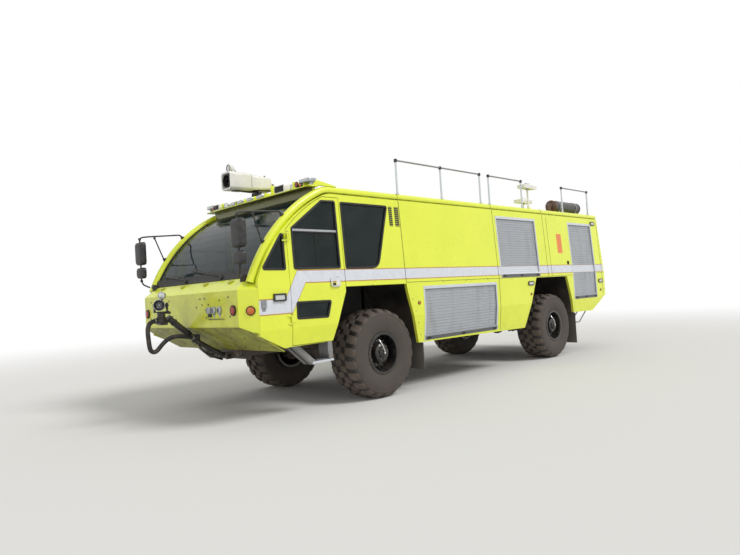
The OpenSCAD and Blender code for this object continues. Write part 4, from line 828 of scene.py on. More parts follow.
class SetStage(bpy.types.Operator):
    """Camera at the photographed viewpoint, soft lamps, pale floor and white surround"""
    bl_idname = "truck.set_stage"
    bl_label = "Stage, lamps and camera"

    def execute(self, context):
        scene = context.scene
        wish = scene.truck_stage
        scene.view_settings.view_transform = "Standard"
        world = bpy.data.worlds.new("studio_surround")
        scene.world = world
        world.use_nodes = True
        tree = world.node_tree
        tree.nodes.clear()
        rays = add(tree, "ShaderNodeLightPath")
        seen = calc(tree, "MAXIMUM", rays.outputs["Is Camera Ray"],
                    calc(tree, "MAXIMUM", rays.outputs["Is Glossy Ray"], rays.outputs["Is Transmission Ray"]))
        lit = add(tree, "ShaderNodeBackground", {0: (1, 1, 1, 1), 1: wish.ambient})
        shown = add(tree, "ShaderNodeBackground", {0: (1, 1, 1, 1), 1: 1.0})
        mix = add(tree, "ShaderNodeMixShader", {0: seen, 1: lit.outputs[0], 2: shown.outputs[0]})
        add(tree, "ShaderNodeOutputWorld", {0: mix.outputs[0]})
        bm = bmesh.new()
        turned(bm, [(r / MM, 0) for r in (0, 6, 14, 60)], (0, 0, -0.002), (0, 0, 1), 64)
        floor_mesh = bpy.data.meshes.new("studio_floor")
        bm.to_mesh(floor_mesh)
        bm.free()
        floor = bpy.data.objects.new("studio_floor", floor_mesh)
        scene.collection.objects.link(floor)
        made = bpy.data.materials.new("matt_studio_floor")
        made.use_nodes = True
        tree = made.node_tree
        tree.nodes.clear()
        far = add(tree, "ShaderNodeVectorMath", {0: place(tree)}, operation="LENGTH").outputs["Value"]
        fade = ramp(tree, far, 7.5, 24.0)
        matt = add(tree, "ShaderNodeBsdfDiffuse", {0: tuple(wish.floor) + (1,)})
        white = add(tree, "ShaderNodeEmission", {0: (1, 1, 1, 1), 1: 1.0})
        mix = add(tree, "ShaderNodeMixShader", {0: fade, 1: matt.outputs[0], 2: white.outputs[0]})
        add(tree, "ShaderNodeOutputMaterial", {0: mix.outputs[0]})
        floor_mesh.materials.append(made)
        for name, way, power, angle in (("key_lamp", KEY_WAY, wish.key, KEY_WIDTH),
                                        ("front_fill_lamp", FILL_WAY, FILL_POWER, FILL_WIDTH)):
            data = bpy.data.lights.new(name, "SUN")
            data.energy = power
            data.angle = math.radians(angle)
            lamp = bpy.data.objects.new(name, data)
            lamp.rotation_euler = Vector(way).to_track_quat("Z", "Y").to_euler()
            scene.collection.objects.link(lamp)
        camera_data = bpy.data.cameras.new("camera")
        camera_data.sensor_width = 36.0
        camera_data.lens = CAMERA_LENS
        camera_data.clip_end = 200
        camera = bpy.data.objects.new("camera", camera_data)
        camera.location = CAMERA_PLACE
        camera.rotation_euler = [math.radians(a) for a in CAMERA_TURN]
        scene.collection.objects.link(camera)
        scene.camera = camera
        return {"FINISHED"}


# Middle line of the hose, in metres from the front axle, from the outlet back to the boom
HOSE_ROUTE = [(2.856, 0, 1.385), (2.890, 0, 1.383), (2.926, 0, 1.372), (2.956, 0, 1.350), (2.974, 0, 1.318),
              (2.984, 0, 1.276), (2.986, 0, 1.226), (2.983, 0, 1.160), (2.978, 0, 1.094), (2.970, 0, 1.034),
              (2.956, 0.001, 0.994), (2.930, 0.004, 0.974), (2.898, 0.008, 0.974), (2.868, 0.013, 0.994),
              (2.840, 0.020, 1.026), (2.808, 0.030, 1.064), (2.770, 0.042, 1.100), (2.726, 0.056, 1.130),
              (2.672, 0.072, 1.150), (2.606, 0.088, 1.154), (2.536, 0.094, 1.146), (2.466, 0.090, 1.134),
              (2.396, 0.081, 1.120), (2.349, 0.081, 1.120)]
HOSE_R = 0.030


def smooth_route(points):
    """Catmull-Rom curve through the points."""
    points = [Vector(p) for p in points]
    ends = [points[0] * 2 - points[1]] + points + [points[-1] * 2 - points[-2]]
    made = []
    for a, b, c, d in zip(ends, ends[1:], ends[2:], ends[3:]):
        for k in range(4):
            t = k / 4
            made.append(0.5 * (b * 2 + (c - a) * t + (a * 2 - b * 5 + c * 4 - d) * t ** 2
                               + (b * 3 - a - c * 3 + d) * t ** 3))
    return made + [points[-1]]


class MakeHose(bpy.types.Operator):
    """Foam hose that hangs from the outlet ahead of the monitor back to the boom"""
    bl_idname = "truck.make_hose"
    bl_label = "Monitor hose"

    def execute(self, context):
        route = smooth_route([Vector(p) + Vector((FRONT_X, 0, 0)) for p in HOSE_ROUTE])
        bm = bmesh.new()
        sweep(bm, route, HOSE_R / MM, 20)
        hose = piece("monitor_hose", bm, "hose_rubber", "boom")
        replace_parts(hose, "hose")
        return {"FINISHED"}


# Wheels

# Section of a tyre: radius and place across, in millimetres
TYRE_WALL = [(292, 205), (296, 228), (316, 246), (352, 262), (400, 277), (450, 287), (505, 291), (548, 288),
             (572, 283), (578, 287), (588, 285), (600, 277), (618, 262), (632, 240), (638, 200), (640, 90)]
# Radius in metres above which the ground of the tread begins
WALL_TOP = 0.600
# Crown of the lugs: place across and radius, in millimetres
TREAD_R = 670
LUG_CROWN = [(0, TREAD_R), (130, TREAD_R), (180, 666), (220, 657), (246, 644), (264, 626), (276, 606)]


def crown_radius(y):
    y = abs(y)
    for (y0, r0), (y1, r1) in zip(LUG_CROWN, LUG_CROWN[1:]):
        if y <= y1:
            return r0 + (r1 - r0) * (y - y0) / (y1 - y0)
    return LUG_CROWN[-1][1]


def tread_block(bm, rows):
    """Rubber block over the tyre's crown; rows are (place across, place along, half length)."""
    rings = []
    for y, along, half in rows:
        top = crown_radius(y)
        low = min(634, top - 6)
        ring = []
        for share, r in ((-1.1, low), (-1.0, top - 7), (-0.9, top), (0.9, top), (1.0, top - 7), (1.1, low)):
            a = (along + half * share) / TREAD_R
            ring.append(Vector((r * math.sin(a), y, r * math.cos(a))) * MM)
        rings.append(ring)
    loft(bm, rings)


def lug_pair(pitch):
    """One pitch of an off-road tread: two shoulder blocks and two centre blocks, half a pitch apart."""
    bm = bmesh.new()
    for s in (1, -1):
        shift = 0 if s > 0 else pitch / 2
        for rows in ([(112, 0, 52), (118, 2, 58), (190, 16, 60), (240, 24, 58), (262, 26, 55), (274, 27, 50)],
                     [(-14, 66, 36), (-6, 66, 45), (40, 76, 50), (86, 90, 46), (96, 92, 38)]):
            tread_block(bm, [(y * s, along + shift, half) for y, along, half in rows])
    layer = bm.verts.layers.float.new("tread")
    for v in bm.verts:
        v[layer] = 1.0
    return part_for_repeats("lug_pair", bm)


def nut_and_stud(size, side):
    """Wheel nut with its stud, pointing outwards; its size is in millimetres."""
    bm = bmesh.new()
    out = (0, side, 0)
    turned(bm, [(0, 0), (size * 0.72, 0), (size * 0.72, size * 0.12), (size * 0.5, size * 0.14)],
           (0, 0, 0), out, 16)
    turned(bm, [(size * 0.56, size * 0.1), (size * 0.56, size * 0.74), (size * 0.42, size * 0.86),
                (size * 0.3, size * 0.86)], (0, 0, 0), out, 6)
    turned(bm, [(size * 0.3, size * 0.8), (size * 0.3, size * 1.25), (size * 0.22, size * 1.32),
                (0, size * 1.32)], (0, 0, 0), out, 12)
    return part_for_repeats("nut_and_stud", bm)


WHEELS = [("front_left", FRONT_X, 1), ("front_right", FRONT_X, -1), ("rear_left", REAR_X, 1),
          ("rear_right", REAR_X, -1)]


class MakeTyres(bpy.types.Operator):
    """Off-road tyres: moulded walls and a ring of tread lugs"""
    bl_idname = "truck.make_tyres"
    bl_label = "Tyres"

    def execute(self, context):
        lugs = context.scene.truck_trim.lugs
        pair = lug_pair(2 * math.pi * TREAD_R / lugs)
        profile = TYRE_WALL + [(r, -y) for r, y in reversed(TYRE_WALL)] + TYRE_WALL[:1]
        for name, x, side in WHEELS:
            centre = Vector((x, side * TYRE_Y, AXLE_Z))
            bm = bmesh.new()
            turned(bm, profile, centre, (0, 1, 0), 96)
            layer = bm.verts.layers.float.new("tread")
            for v in bm.verts:
                far = math.hypot(v.co.x - x, v.co.z - AXLE_Z)
                v[layer] = -min(max((far - WALL_TOP) / 0.03, 0), 1)
            wall = piece("tyre_wall_" + name, bm, "tyre_rubber", "wheel_" + name, angle=30)
            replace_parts(wall, "tyre_" + name)
            in_ring("tyre_lugs_" + name, pair, lugs, 0.0, centre, "tyre_rubber", "wheel_" + name)
        bpy.data.objects.remove(pair)
        return {"FINISHED"}


class MakeWheels(bpy.types.Operator):
    """Hub cap, nuts, rim bolts and inflation pipe on each wheel"""
    bl_idname = "truck.make_wheels"
    bl_label = "Wheels"

    def execute(self, context):
        for name, x, side in WHEELS:
            body = "wheel_" + name
            out = (0, side, 0)
            nut, small = nut_and_stud(34, side), nut_and_stud(16, side)
            for label, part, count, radius, y in (("wheel_nuts_", nut, 10, 0.185, 1.284),
                                                  ("rim_bolts_", small, 20, 0.243, 1.250),
                                                  ("hub_bolts_", small, 8, 0.098, 1.400)):
                in_ring(label + name, part, count, radius, (x, side * y, AXLE_Z), "zinc_bolt",
                        body, 0.2)
            bpy.data.objects.remove(nut)
            bpy.data.objects.remove(small)
            bm = bmesh.new()
            turned(bm, [(78, 0), (78, 18), (70, 26), (40, 32), (34, 44), (0, 46)],
                   (x, side * 1.399, AXLE_Z), out, 32)
            piece("hub_cap_" + name, bm, "casting", body)
            bm = bmesh.new()
            path = bent_path([(x, side * 1.425, AXLE_Z), (x, side * 1.452, AXLE_Z + 0.02),
                              (x + 0.05, side * 1.446, AXLE_Z + 0.14),
                              (x + 0.07, side * 1.400, AXLE_Z + 0.21),
                              (x + 0.075, side * 1.330, AXLE_Z + 0.245)], 40)
            sweep(bm, path, 9, 12)
            turned(bm, [(18, 0), (18, 30), (12, 34), (0, 34)], (x, side * 1.424, AXLE_Z), out, 6)
            piece("inflation_pipe_" + name, bm, "chrome", body)
        return {"FINISHED"}


# Windows and doors

DOOR_WINDOW = [(1648, 2498), (1095, 2898), (850, 2905), (850, 1963), (1652, 1959)]
DOOR_LOW_WINDOW = [(1650, 1519), (1064, 1513), (1131, 1295), (1651, 1305)]
QUARTER_WINDOW = [(1797, 2462), (2158, 1958), (1797, 1952)]
REAR_WINDOW = [(740, 2897), (-212, 2897), (44, 2090), (78, 2016), (136, 1970), (226, 1955), (740, 1955)]
SIDES = (("left", 1), ("right", -1))


class MakeWindows(bpy.types.Operator):
    """Rubber round every window, and the frame of the sliding panes"""
    bl_idname = "truck.make_windows"
    bl_label = "Window seals"

    def execute(self, context):
        seal = context.scene.truck_trim.seal / MM
        for label, side in SIDES:
            for name, outline, body in (("door_window_seal_", DOOR_WINDOW, "door_" + label),
                                        ("low_window_seal_", DOOR_LOW_WINDOW, "door_" + label),
                                        ("quarter_window_seal_", QUARTER_WINDOW, ROOT),
                                        ("rear_window_seal_", REAR_WINDOW, ROOT)):
                bm = bmesh.new()
                surround(bm, round_corners(outline, 22, 5), side, seal * 0.6, seal * 0.4, -17, 7)
                piece(name + label, bm, "seal_rubber", body)
            bm = bmesh.new()
            side_pad(bm, rectangle(868, 1640, 2462, 2492), side, -14, 1, 3)
            piece("sliding_pane_frame_" + label, bm, "aluminium", "door_" + label)
            bm = bmesh.new()
            side_pad(bm, rectangle(868, 1640, 2446, 2463), side, -14, -1, 3)
            side_pad(bm, rectangle(1240, 1250, 1975, 2448), side, -15, -9, 2)
            piece("sliding_pane_track_" + label, bm, "seal_rubber", "door_" + label)
        # Windscreen rubber follows the curved edges of the glass
        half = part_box("windscreen")[1].y
        bm = bmesh.new()
        heights = [SCREEN_LOW_Z + (SCREEN_TOP_Z - 0.07 - SCREEN_LOW_Z) * k / 14 for k in range(15)]
        left = [Vector((screen_x(z) + 0.001, half - 0.018, z)) for z in heights]
        # Flat rubber: the edge strips, and the wider strip along the foot
        for side in (1, -1):
            rings = [[Vector((p.x + dx, side * (p.y + dy), p.z))
                      for dx, dy in ((-0.012, -0.022), (0.006, -0.022), (0.009, -0.016), (0.009, 0.014),
                                     (-0.012, 0.016))] for p in left]
            loft(bm, rings)
        foot_x = screen_x(SCREEN_LOW_Z)
        rings = [[Vector((foot_x + dx, y, SCREEN_LOW_Z + dz))
                  for dx, dz in ((-0.030, 0.084), (-0.010, 0.086), (0.008, 0.020), (0.032, -0.014),
                                 (0.030, -0.026), (-0.020, -0.026))] for y in (-half + 0.004, half - 0.004)]
        loft(bm, rings)
        piece("windscreen_rubber", bm, "seal_rubber")
        # Painted shadow of the brow: a dark opaque strip inside the top of the glass
        bm = bmesh.new()
        rings = []
        for z in (SCREEN_TOP_Z - 0.10, SCREEN_TOP_Z - 0.05, SCREEN_TOP_Z - 0.004):
            rings.append([Vector((screen_x(z, GLASS_R - 0.0115) - d, y, z))
                          for d, y in ((0, -half + 0.01), (0, half - 0.01), (0.004, half - 0.01),
                                       (0.004, -half + 0.01))])
        loft(bm, rings)
        piece("windscreen_shade_band", bm, "seal_rubber")
        self.wipers(half)
        return {"FINISHED"}

    def wipers(self, half):
        """Two long wipers that rest low across the glass"""
        for name, y0, reach, tip_z in (("left", 0.66, -0.86, 2.055), ("right", -0.34, -0.80, 2.030)):
            bm = bmesh.new()
            foot = Vector((screen_x(1.93) + 0.035, y0, 1.905))
            turned(bm, [(26, -30), (26, 20), (18, 28), (0, 28)], foot, (1, 0, 0.55), 20)
            ends = []
            for share in (0.0, 0.25, 0.5, 0.75, 1.0):
                z = 1.935 + (tip_z - 1.935) * share
                ends.append(Vector((screen_x(z) + 0.044, y0 + reach * share, z)))
            sweep(bm, [foot + mm(20, 0, 10)] + ends, 9, 8)
            sweep(bm, [p + mm(-4, 0, 28) for p in ends[1:]], 5, 8)
            piece("wiper_arm_" + name, bm, "black_plastic")
            bm = bmesh.new()
            blade = []
            for share in (0.30, 0.5, 0.7, 0.9, 1.12):
                z = 1.925 + (tip_z - 1.935) * share
                blade.append(Vector((screen_x(z) + 0.014, y0 + reach * share, z)))
            sweep(bm, blade, 0, 6, section=[(-4, -12), (4, -12), (10, 6), (10, 16), (-10, 16), (-10, 6)])
            sweep(bm, [p + mm(20, 0, 0) for p in blade[1:-1]], 6, 6)
            piece("wiper_blade_" + name, bm, "seal_rubber")


class MakeDoors(bpy.types.Operator):
    """Paddle latch, keyhole and hinge pin heads of each cab door"""
    bl_idname = "truck.make_doors"
    bl_label = "Door fittings"

    def execute(self, context):
        for label, side in SIDES:
            body = "door_" + label
            bm = bmesh.new()
            surround(bm, rectangle(896, 1050, 1706, 1828, 26), side, 12, 8, -2, 27, 5)
            piece("latch_bezel_" + label, bm, "chrome", body)
            bm = bmesh.new()
            side_pad(bm, rectangle(910, 968, 1718, 1816, 14), side, 10, 26, 5)
            piece("latch_paddle_" + label, bm, "white_enamel", body)
            bm = bmesh.new()
            side_pad(bm, rectangle(974, 1034, 1718, 1816, 12), side, 16, 24, 3)
            turned(bm, [(11, 0), (11, 6), (6, 7), (0, 5)], on_side(1004, 1744, 22, side), (0, side, 0), 16)
            piece("latch_plate_" + label, bm, "black_plastic", body)
            for z in (1300, 2380):
                bm = bmesh.new()
                turned(bm, [(0, -4), (10, -4), (12.5, 0), (12.5, 6), (8, 10), (0, 10)],
                       Vector((FRONT_X + 1.753, side * (HALF_W + 0.015), (z + 60) * MM)), (0, 0, 1), 16)
                piece("hinge_pin_head_%s_%d" % (label, z), bm, "zinc_bolt")
        return {"FINISHED"}


# Nose

# Bolt heads on the front face: place across and height
NOSE_BOLTS = [(1120, 1640), (905, 1606), (620, 1560), (520, 1640), (452, 1560), (400, 1640), (540, 1490),
              (300, 1530), (552, 1385), (1148, 1392)]


class MakeNose(bpy.types.Operator):
    """Connector plate, bolts and screen steps of the nose"""
    bl_idname = "truck.make_nose"
    bl_label = "Nose fittings"

    def execute(self, context):
        front = Vector((1, 0, 0))
        bolt = bolt_head(context.scene.truck_trim.bolt / MM)
        places = [(at(2422, y, z), front) for y, z in NOSE_BOLTS]
        places += [(at(2422, -y, z), front) for y, z in NOSE_BOLTS if y > 500]
        on_points("nose_bolts", bolt, places, "zinc_bolt")
        under = Vector((0.525, 0, -0.851))
        slope = [(at(2422 - d * 0.851, y, 1256 - d * 0.525 - 1), under)
                 for d in (60, 300, 560) for y in (-1050, -700, -350, 350, 700, 1050)]
        on_points("under_plate_bolts", bolt, slope, "zinc_bolt")
        bpy.data.objects.remove(bolt)
        # Connector plate: one square socket, two round ones with tags, and the drip strip below
        bm = bmesh.new()
        block(bm, at(2420, 600, 1366), at(2426, 1012, 1528), 2)
        piece("connector_plate", bm, "enamel")
        bm = bmesh.new()
        block(bm, at(2424, 612, 1440), at(2462, 706, 1524), 8)
        for y in (766, 912):
            turned(bm, [(50, 0), (50, 22), (43, 30), (28, 32), (26, 14), (0, 12)],
                   at(2424, y, 1476), front, 28)
            block(bm, at(2424, y - 44, 1476), at(2436, y + 44, 1528), 4)
            slab(bm, [at(2425, y - 30, 1430), at(2425, y + 30, 1430), at(2425, y, 1382)], (0.006, 0, 0), 2)
        piece("connector_sockets", bm, "aluminium")
        bm = bmesh.new()
        block(bm, at(2424, 614, 1392), at(2440, 704, 1434), 3)
        piece("connector_label_blank", bm, "lining")
        bm = bmesh.new()
        block(bm, at(2422, 606, 1360), at(2436, 1012, 1368), 2)
        piece("connector_drip_strip", bm, "chassis_enamel")
        for label, side in SIDES:
            # Half-round tabs that hang under the foot of the screen, in the darker lime of painted shade
            bm = bmesh.new()
            fold, top = at(2418, 0, 1722), Vector((screen_x(SCREEN_LOW_Z) + 0.030, 0, SCREEN_LOW_Z - 0.024))
            rise = (top - fold).normalized()
            out = Vector((rise.z, 0, -rise.x)) * (1 if rise.z > 0 else -1)
            for y in (330, 980):
                centre = top + Vector((0, side * y * MM, 0)) + out * 0.002 - rise * 0.035
                slab(bm, [centre + Vector((0, math.cos(t) * 0.060, 0)) - rise * math.sin(t) * 0.056
                          for t in (math.pi * k / 12 for k in range(13))], out * 0.014, 2)
            piece("screen_tab_" + label, bm, "olive_enamel")
        return {"FINISHED"}


def round_lamp(bm, centre, way, radius, depth):
    """Black ring and domed lens in millimetres; the ring is finish 0 and the lens finish 1."""
    turned(bm, [(radius * 0.80, 0), (radius * 1.16, 0), (radius * 1.16, depth * 0.5),
                (radius * 1.08, depth * 0.8), (radius * 0.98, depth * 0.8), (radius * 0.96, depth * 0.3)],
           centre, way, 40)
    turned(bm, [(radius * 0.97, depth * 0.2), (radius * 0.95, depth * 0.62), (radius * 0.80, depth * 0.88),
                (radius * 0.45, depth * 1.02), (0, depth * 1.06)], centre, way, 40, finish=1)


# Corner and side lamps: name, place along, height, radius and lens
ROUND_MARKERS = [("arch", -766, 1384, 26, "amber_lens"), ("tail", -7280, 1339, 24, "red_lens"),
                 ("middle", -4165, 1373, 22, "amber_lens")]
BOX_LAMPS = [("upper_tail", -7185, 2900), ("lower_tail", -7290, 1553), ("middle", -4173, 1586)]


class MakeLamps(bpy.types.Operator):
    """Corner, marker, scene and tail lamps"""
    bl_idname = "truck.make_lamps"
    bl_label = "Lamps"

    def execute(self, context):
        made = []
        for label, side in SIDES:
            bm = bmesh.new()
            way = Vector((1, side, 0)).normalized()
            round_lamp(bm, at(2313, side * 1451, 1452) - way * 0.002, way, 52, 24)
            made.append(piece("corner_lamp_" + label, bm, ["seal_rubber", "amber_lens"]))
            bm = bmesh.new()
            round_lamp(bm, at(2421, side * 1236, 1467), (1, 0, 0), 58, 30)
            for v in bm.verts:
                v.co.y = side * 1.236 + (v.co.y - side * 1.236) * 0.86
            made.append(piece("front_lamp_" + label, bm, ["seal_rubber", "red_lens"]))
            for name, x, z, radius, lens in ROUND_MARKERS:
                bm = bmesh.new()
                round_lamp(bm, on_side(x, z, -1, side), (0, side, 0), radius, 16)
                made.append(piece("marker_%s_%s" % (name, label), bm, ["seal_rubber", lens]))
            for name, x, z in BOX_LAMPS:
                bm = bmesh.new()
                surround(bm, rectangle(x - 92, x + 92, z - 30, z + 30, 20), side, 6, 12, -1, 24, 4)
                side_pad(bm, rectangle(x - 90, x + 90, z - 28, z + 28, 18), side, 2, 19, 5, finish=1)
                made.append(piece("scene_lamp_%s_%s" % (name, label), bm, ["lining", "clear_lens"]))
            # Ground lamp ahead of the door, under its own small hood
            bm = bmesh.new()
            surround(bm, rectangle(1838, 2008, 1558, 1632, 8), side, 8, 12, -1, 27, 4)
            side_pad(bm, rectangle(1840, 2006, 1560, 1630, 6), side, 4, 15, 4, finish=1)
            y0, y1 = sorted((side * HALF_W, side * (HALF_W + 0.0265)))
            block(bm, (FRONT_X + 1.826, y0, 1.634), (FRONT_X + 2.020, y1, 1.646), 3)
            made.append(piece("ground_lamp_" + label, bm, ["black_plastic", "clear_lens"]))
            # Latch block of the nose panel
            bm = bmesh.new()
            side_pad(bm, rectangle(2131, 2204, 1466, 1577, 16), side, 0, 16, 4)
            side_pad(bm, rectangle(2146, 2190, 1435, 1462, 8), side, 0, 12, 3)
            piece("panel_latch_" + label, bm, "galvanised")
            # Tail lamps on the rear face
            for z, lens in ((1290, "red_lens"), (1500, "amber_lens")):
                bm = bmesh.new()
                centre = Vector((TAIL_X + 0.034, side * 1.150, z * MM))
                block(bm, centre + mm(-20, -108, -68), centre + mm(4, 108, 68), 8)
                for dy in (-52, 52):
                    round_lamp(bm, centre + mm(-18, dy, 0), (-1, 0, 0), 40, 16)
                made.append(piece("tail_lamp_%s_%d" % (label, z), bm, ["black_plastic", lens]))
        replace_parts(made[0], "lamps")
        return {"FINISHED"}


# Body sides

# Shutter openings: front, rear, lower and upper edge
SHUTTERS = [(-893, -2970, 770, 1640), (-3150, -4575, 1720, 2890), (-5970, -7090, 1178, 2880)]
# Upright seams of the panels, and level ones
UPRIGHT_SEAMS = [(-490, 1722, 3004), (-3062, 760, 3004), (-4900, 1722, 3004), (-5050, 1722, 2960),
                 (-7400, 1240, 2996)]
LEVEL_SEAMS = [(-490, -3060, 1716), (-3064, -5050, 1714), (-7096, -7480, 1740), (-5052, -5960, 1716)]


class MakeBodySides(bpy.types.Operator):
    """Shutter headers, guides, bars and latches, vents, seams, screws and blank signs"""
    bl_idname = "truck.make_body_sides"
    bl_label = "Body sides"

    def execute(self, context):
        blades = context.scene.truck_trim.flutes
        for label, side in SIDES:
            frames, bars, latches = bmesh.new(), bmesh.new(), bmesh.new()
            for x0, x1, z0, z1 in SHUTTERS:
                side_pad(frames, rectangle(x1 - 6, x0 + 6, z1 - 46, z1 + 6), side, -16, 7, 5)
                for x in (x0, x1):
                    a, b = sorted((x + (4 if x == x0 else -4), x + (-26 if x == x0 else 26)))
                    side_strip(frames, a, b, z0 + 2, z1 - 44, side, -16, 3)
                side_pad(frames, rectangle(x1 + 28, x0 - 28, z0 + 66, z0 + 80), side, -16, 4, 3)
                side_pad(bars, rectangle(x1 + 28, x0 - 28, z0 + 6, z0 + 66), side, -16, 8, 5)
                for x in (x0 - 110, (x0 + x1) / 2, x1 + 110):
                    side_pad(latches, rectangle(x - 42, x + 42, z0 + 18, z0 + 54, 10), side, 6, 19, 5)
                    turned(latches, [(12, 0), (12, 7), (7, 10), (0, 10)], on_side(x, z0 + 36, 17, side),
                           (0, side, 0), 16)
            piece("shutter_frames_" + label, frames, "rail_tube")
            piece("shutter_bars_" + label, bars, "bar_steel")
            piece("shutter_latches_" + label, latches, "black_plastic")
            # Seams are dark rubber lines between the panels
            bm = bmesh.new()
            for x, z0, z1 in UPRIGHT_SEAMS:
                side_strip(bm, x - 5, x + 5, z0, z1, side, -2, 1.2)
            for x0, x1, z in LEVEL_SEAMS:
                side_strip(bm, x1, x0, z - 3.5, z + 3.5, side, -2, 1.0)
            piece("panel_seams_" + label, bm, "seal_rubber")
            # Two upright vents behind the cab: flat black strips on the skin, painted shade inside the vents,
            # crossed by pressed blades
            bm = bmesh.new()
            vents = [(-244, -322), (-374, -470)]
            for x0, x1 in vents:
                side_strip(bm, x1, x0, 2592, 2898, side, -2, 1.5)
            piece("vent_pockets_" + label, bm, "grille_black")
            for k, (x0, x1) in enumerate(vents):
                bm = bmesh.new()
                half = (x0 - x1) / 2 * MM - 0.004
                block(bm, (-half, -0.0035, 0.001), (half, 0.003, 0.009), 2)
                places = [(on_side((x0 + x1) / 2, 2604 + i * 282 / (blades - 1), 0, side), (0, side, 0.06))
                          for i in range(blades)]
                part = part_for_repeats("vent_blade", bm)
                on_points("vent_blades_%s_%d" % (label, k), part, places, "enamel")
                bpy.data.objects.remove(part)
            # Blank signs where the number and the badge are
            bm = bmesh.new()
            side_strip(bm, -5610, -5410, 2200, 2610, side, 0, 2.0)
            piece("number_sign_blank_" + label, bm, "sign_film")
            # Turn latch of the tall door, and screws along the belt and the arches
            bm = bmesh.new()
            turned(bm, [(40, -2), (42, 8), (34, 12), (30, 4), (0, 3)], on_side(-5800, 1990, 0, side),
                   (0, side, 0.05), 28)
            side_pad(bm, rectangle(-5810, -5790, 1962, 2018, 6), side, 2, 15, 3)
            piece("locker_latch_" + label, bm, "black_plastic")
            screw = rivet_head(10)
            places = [(on_side(x, z, 0, side), (0, side, 0))
                      for x, z in ([(250, 1702), (-2030, 1700), (-1400, 1700), (-2700, 1700), (-3500, 1690),
                                    (-4300, 1690)] + [(-620 - k * 60, 1450 - k * 190) for k in range(4)]
                                   + [(-7440, 1350 + k * 260) for k in range(6)])]
            on_points("side_screws_" + label, screw, places, "zinc_bolt")
            bpy.data.objects.remove(screw)
        return {"FINISHED"}


# Entry steps

def plate(bm, side, y0, y1, outline, edge=3, finish=0):
    """Plate across the vehicle with an outline of (x, z), between two places across."""
    slab(bm, [at(x, side * y0, z) for x, z in outline], (0, side * (y1 - y0) * MM, 0), edge, finish)


class MakeSteps(bpy.types.Operator):
    """Entry step below each door on its channel and rear hanger, and the small rear step"""
    bl_idname = "truck.make_steps"
    bl_label = "Steps"

    def execute(self, context):
        for label, side in SIDES:
            bm = bmesh.new()
            # Sloping channel: web, two flanges and a stiffening rib down its middle
            plate(bm, side, 1184, 1376, [(1736, 1014), (1700, 1014), (1296, 664), (1330, 660)])
            for y in (1180, 1368):
                plate(bm, side, y, y + 12, [(1740, 1014), (1630, 1014), (1262, 694),
                                            (1262, 662), (1334, 658)])
            plate(bm, side, 1262, 1306, [(1741, 1011), (1733, 1014), (1331, 664), (1338, 662)], 2, finish=1)
            # Rear hanger: tapered plate with turned edges
            plate(bm, side, 1186, 1374, [(1040, 1014), (1030, 1014), (1042, 836), (990, 700),
                                         (1004, 698), (1054, 836)])
            for y in (1180, 1371):
                plate(bm, side, y, y + 9, [(1044, 1014), (976, 1014), (966, 836), (960, 700),
                                           (1030, 698), (1056, 836)])
            hangers = piece("step_hangers_" + label, bm, ["galvanised", "seal_rubber"])
            if side > 0:
                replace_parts(hangers, "steps")
            bm = bmesh.new()
            plate(bm, side, 1176, 1384, [(1336, 664), (1336, 688), (1326, 696), (966, 706),
                                         (954, 700), (954, 676)], 6)
            for k in range(7):
                x = 1000 + k * 48
                plate(bm, side, 1196, 1364, [(x, 700), (x, 711 - k * 1.3), (x + 14, 711 - k * 1.3),
                                             (x + 14, 700)], 3)
            piece("step_tread_" + label, bm, "rail_tube")
            # Rear step
            x = (TAIL_X - FRONT_X) / MM
            bm = bmesh.new()
            for y in (1180, 1372):
                plate(bm, side, y, y + 8, [(x + 730, 896), (x + 790, 896), (x + 1135, 664), (x + 1300, 664),
                                           (x + 1300, 640), (x + 1112, 640)], 2)
            plate(bm, side, 1184, 1376, [(x + 1112, 644), (x + 1296, 644), (x + 1296, 660), (x + 1130, 660)],
                  4)
            piece("rear_step_" + label, bm, "galvanised")
        return {"FINISHED"}


# Cab interior

# Seats: place along and across, and height of the floor below
SEATS = [(1180, 520, 1040), (1180, -520, 1040), (430, 560, 1425), (430, -560, 1425)]


def cushion(name, centre, size, crown, lean, channels):
    """Crowned closed pad: rounded corners, sides that pull in, sewn channels and a piped edge."""
    bm = bmesh.new()
    bmesh.ops.create_cube(bm, size=2.0)
    bmesh.ops.subdivide_edges(bm, edges=bm.edges[:], cuts=13, use_grid_fill=True)
    turn = Matrix.Rotation(lean, 3, "Y")
    for v in bm.verts:
        x, y, z = v.co
        far = max(abs(x), abs(y), abs(z)) / (abs(x) ** 7 + abs(y) ** 7 + abs(z) ** 7) ** (1 / 7)
        x, y, z = x * far, y * far, z * far
        pull = 1 - 0.05 * (1 - x * x)
        y *= pull
        x *= 1 - 0.04 * (1 - y * y)
        z += crown * (1 - x * x) * (1 - y * y) * (1 if z > 0 else 0.15) * (1 if z > 0 else -1)
        if z > 0.2:
            for c in channels:
                z -= 0.22 * math.exp(-((x - c) / 0.05) ** 2) * (1 - y ** 8)
                z -= 0.12 * math.exp(-((abs(y) - 0.66) / 0.05) ** 2)
        v.co = Vector(centre) + turn @ Vector((x * size[0] / 2, y * size[1] / 2, z * size[2] / 2))
    made = piece(name, bm, "seat_cloth", angle=60)
    return made


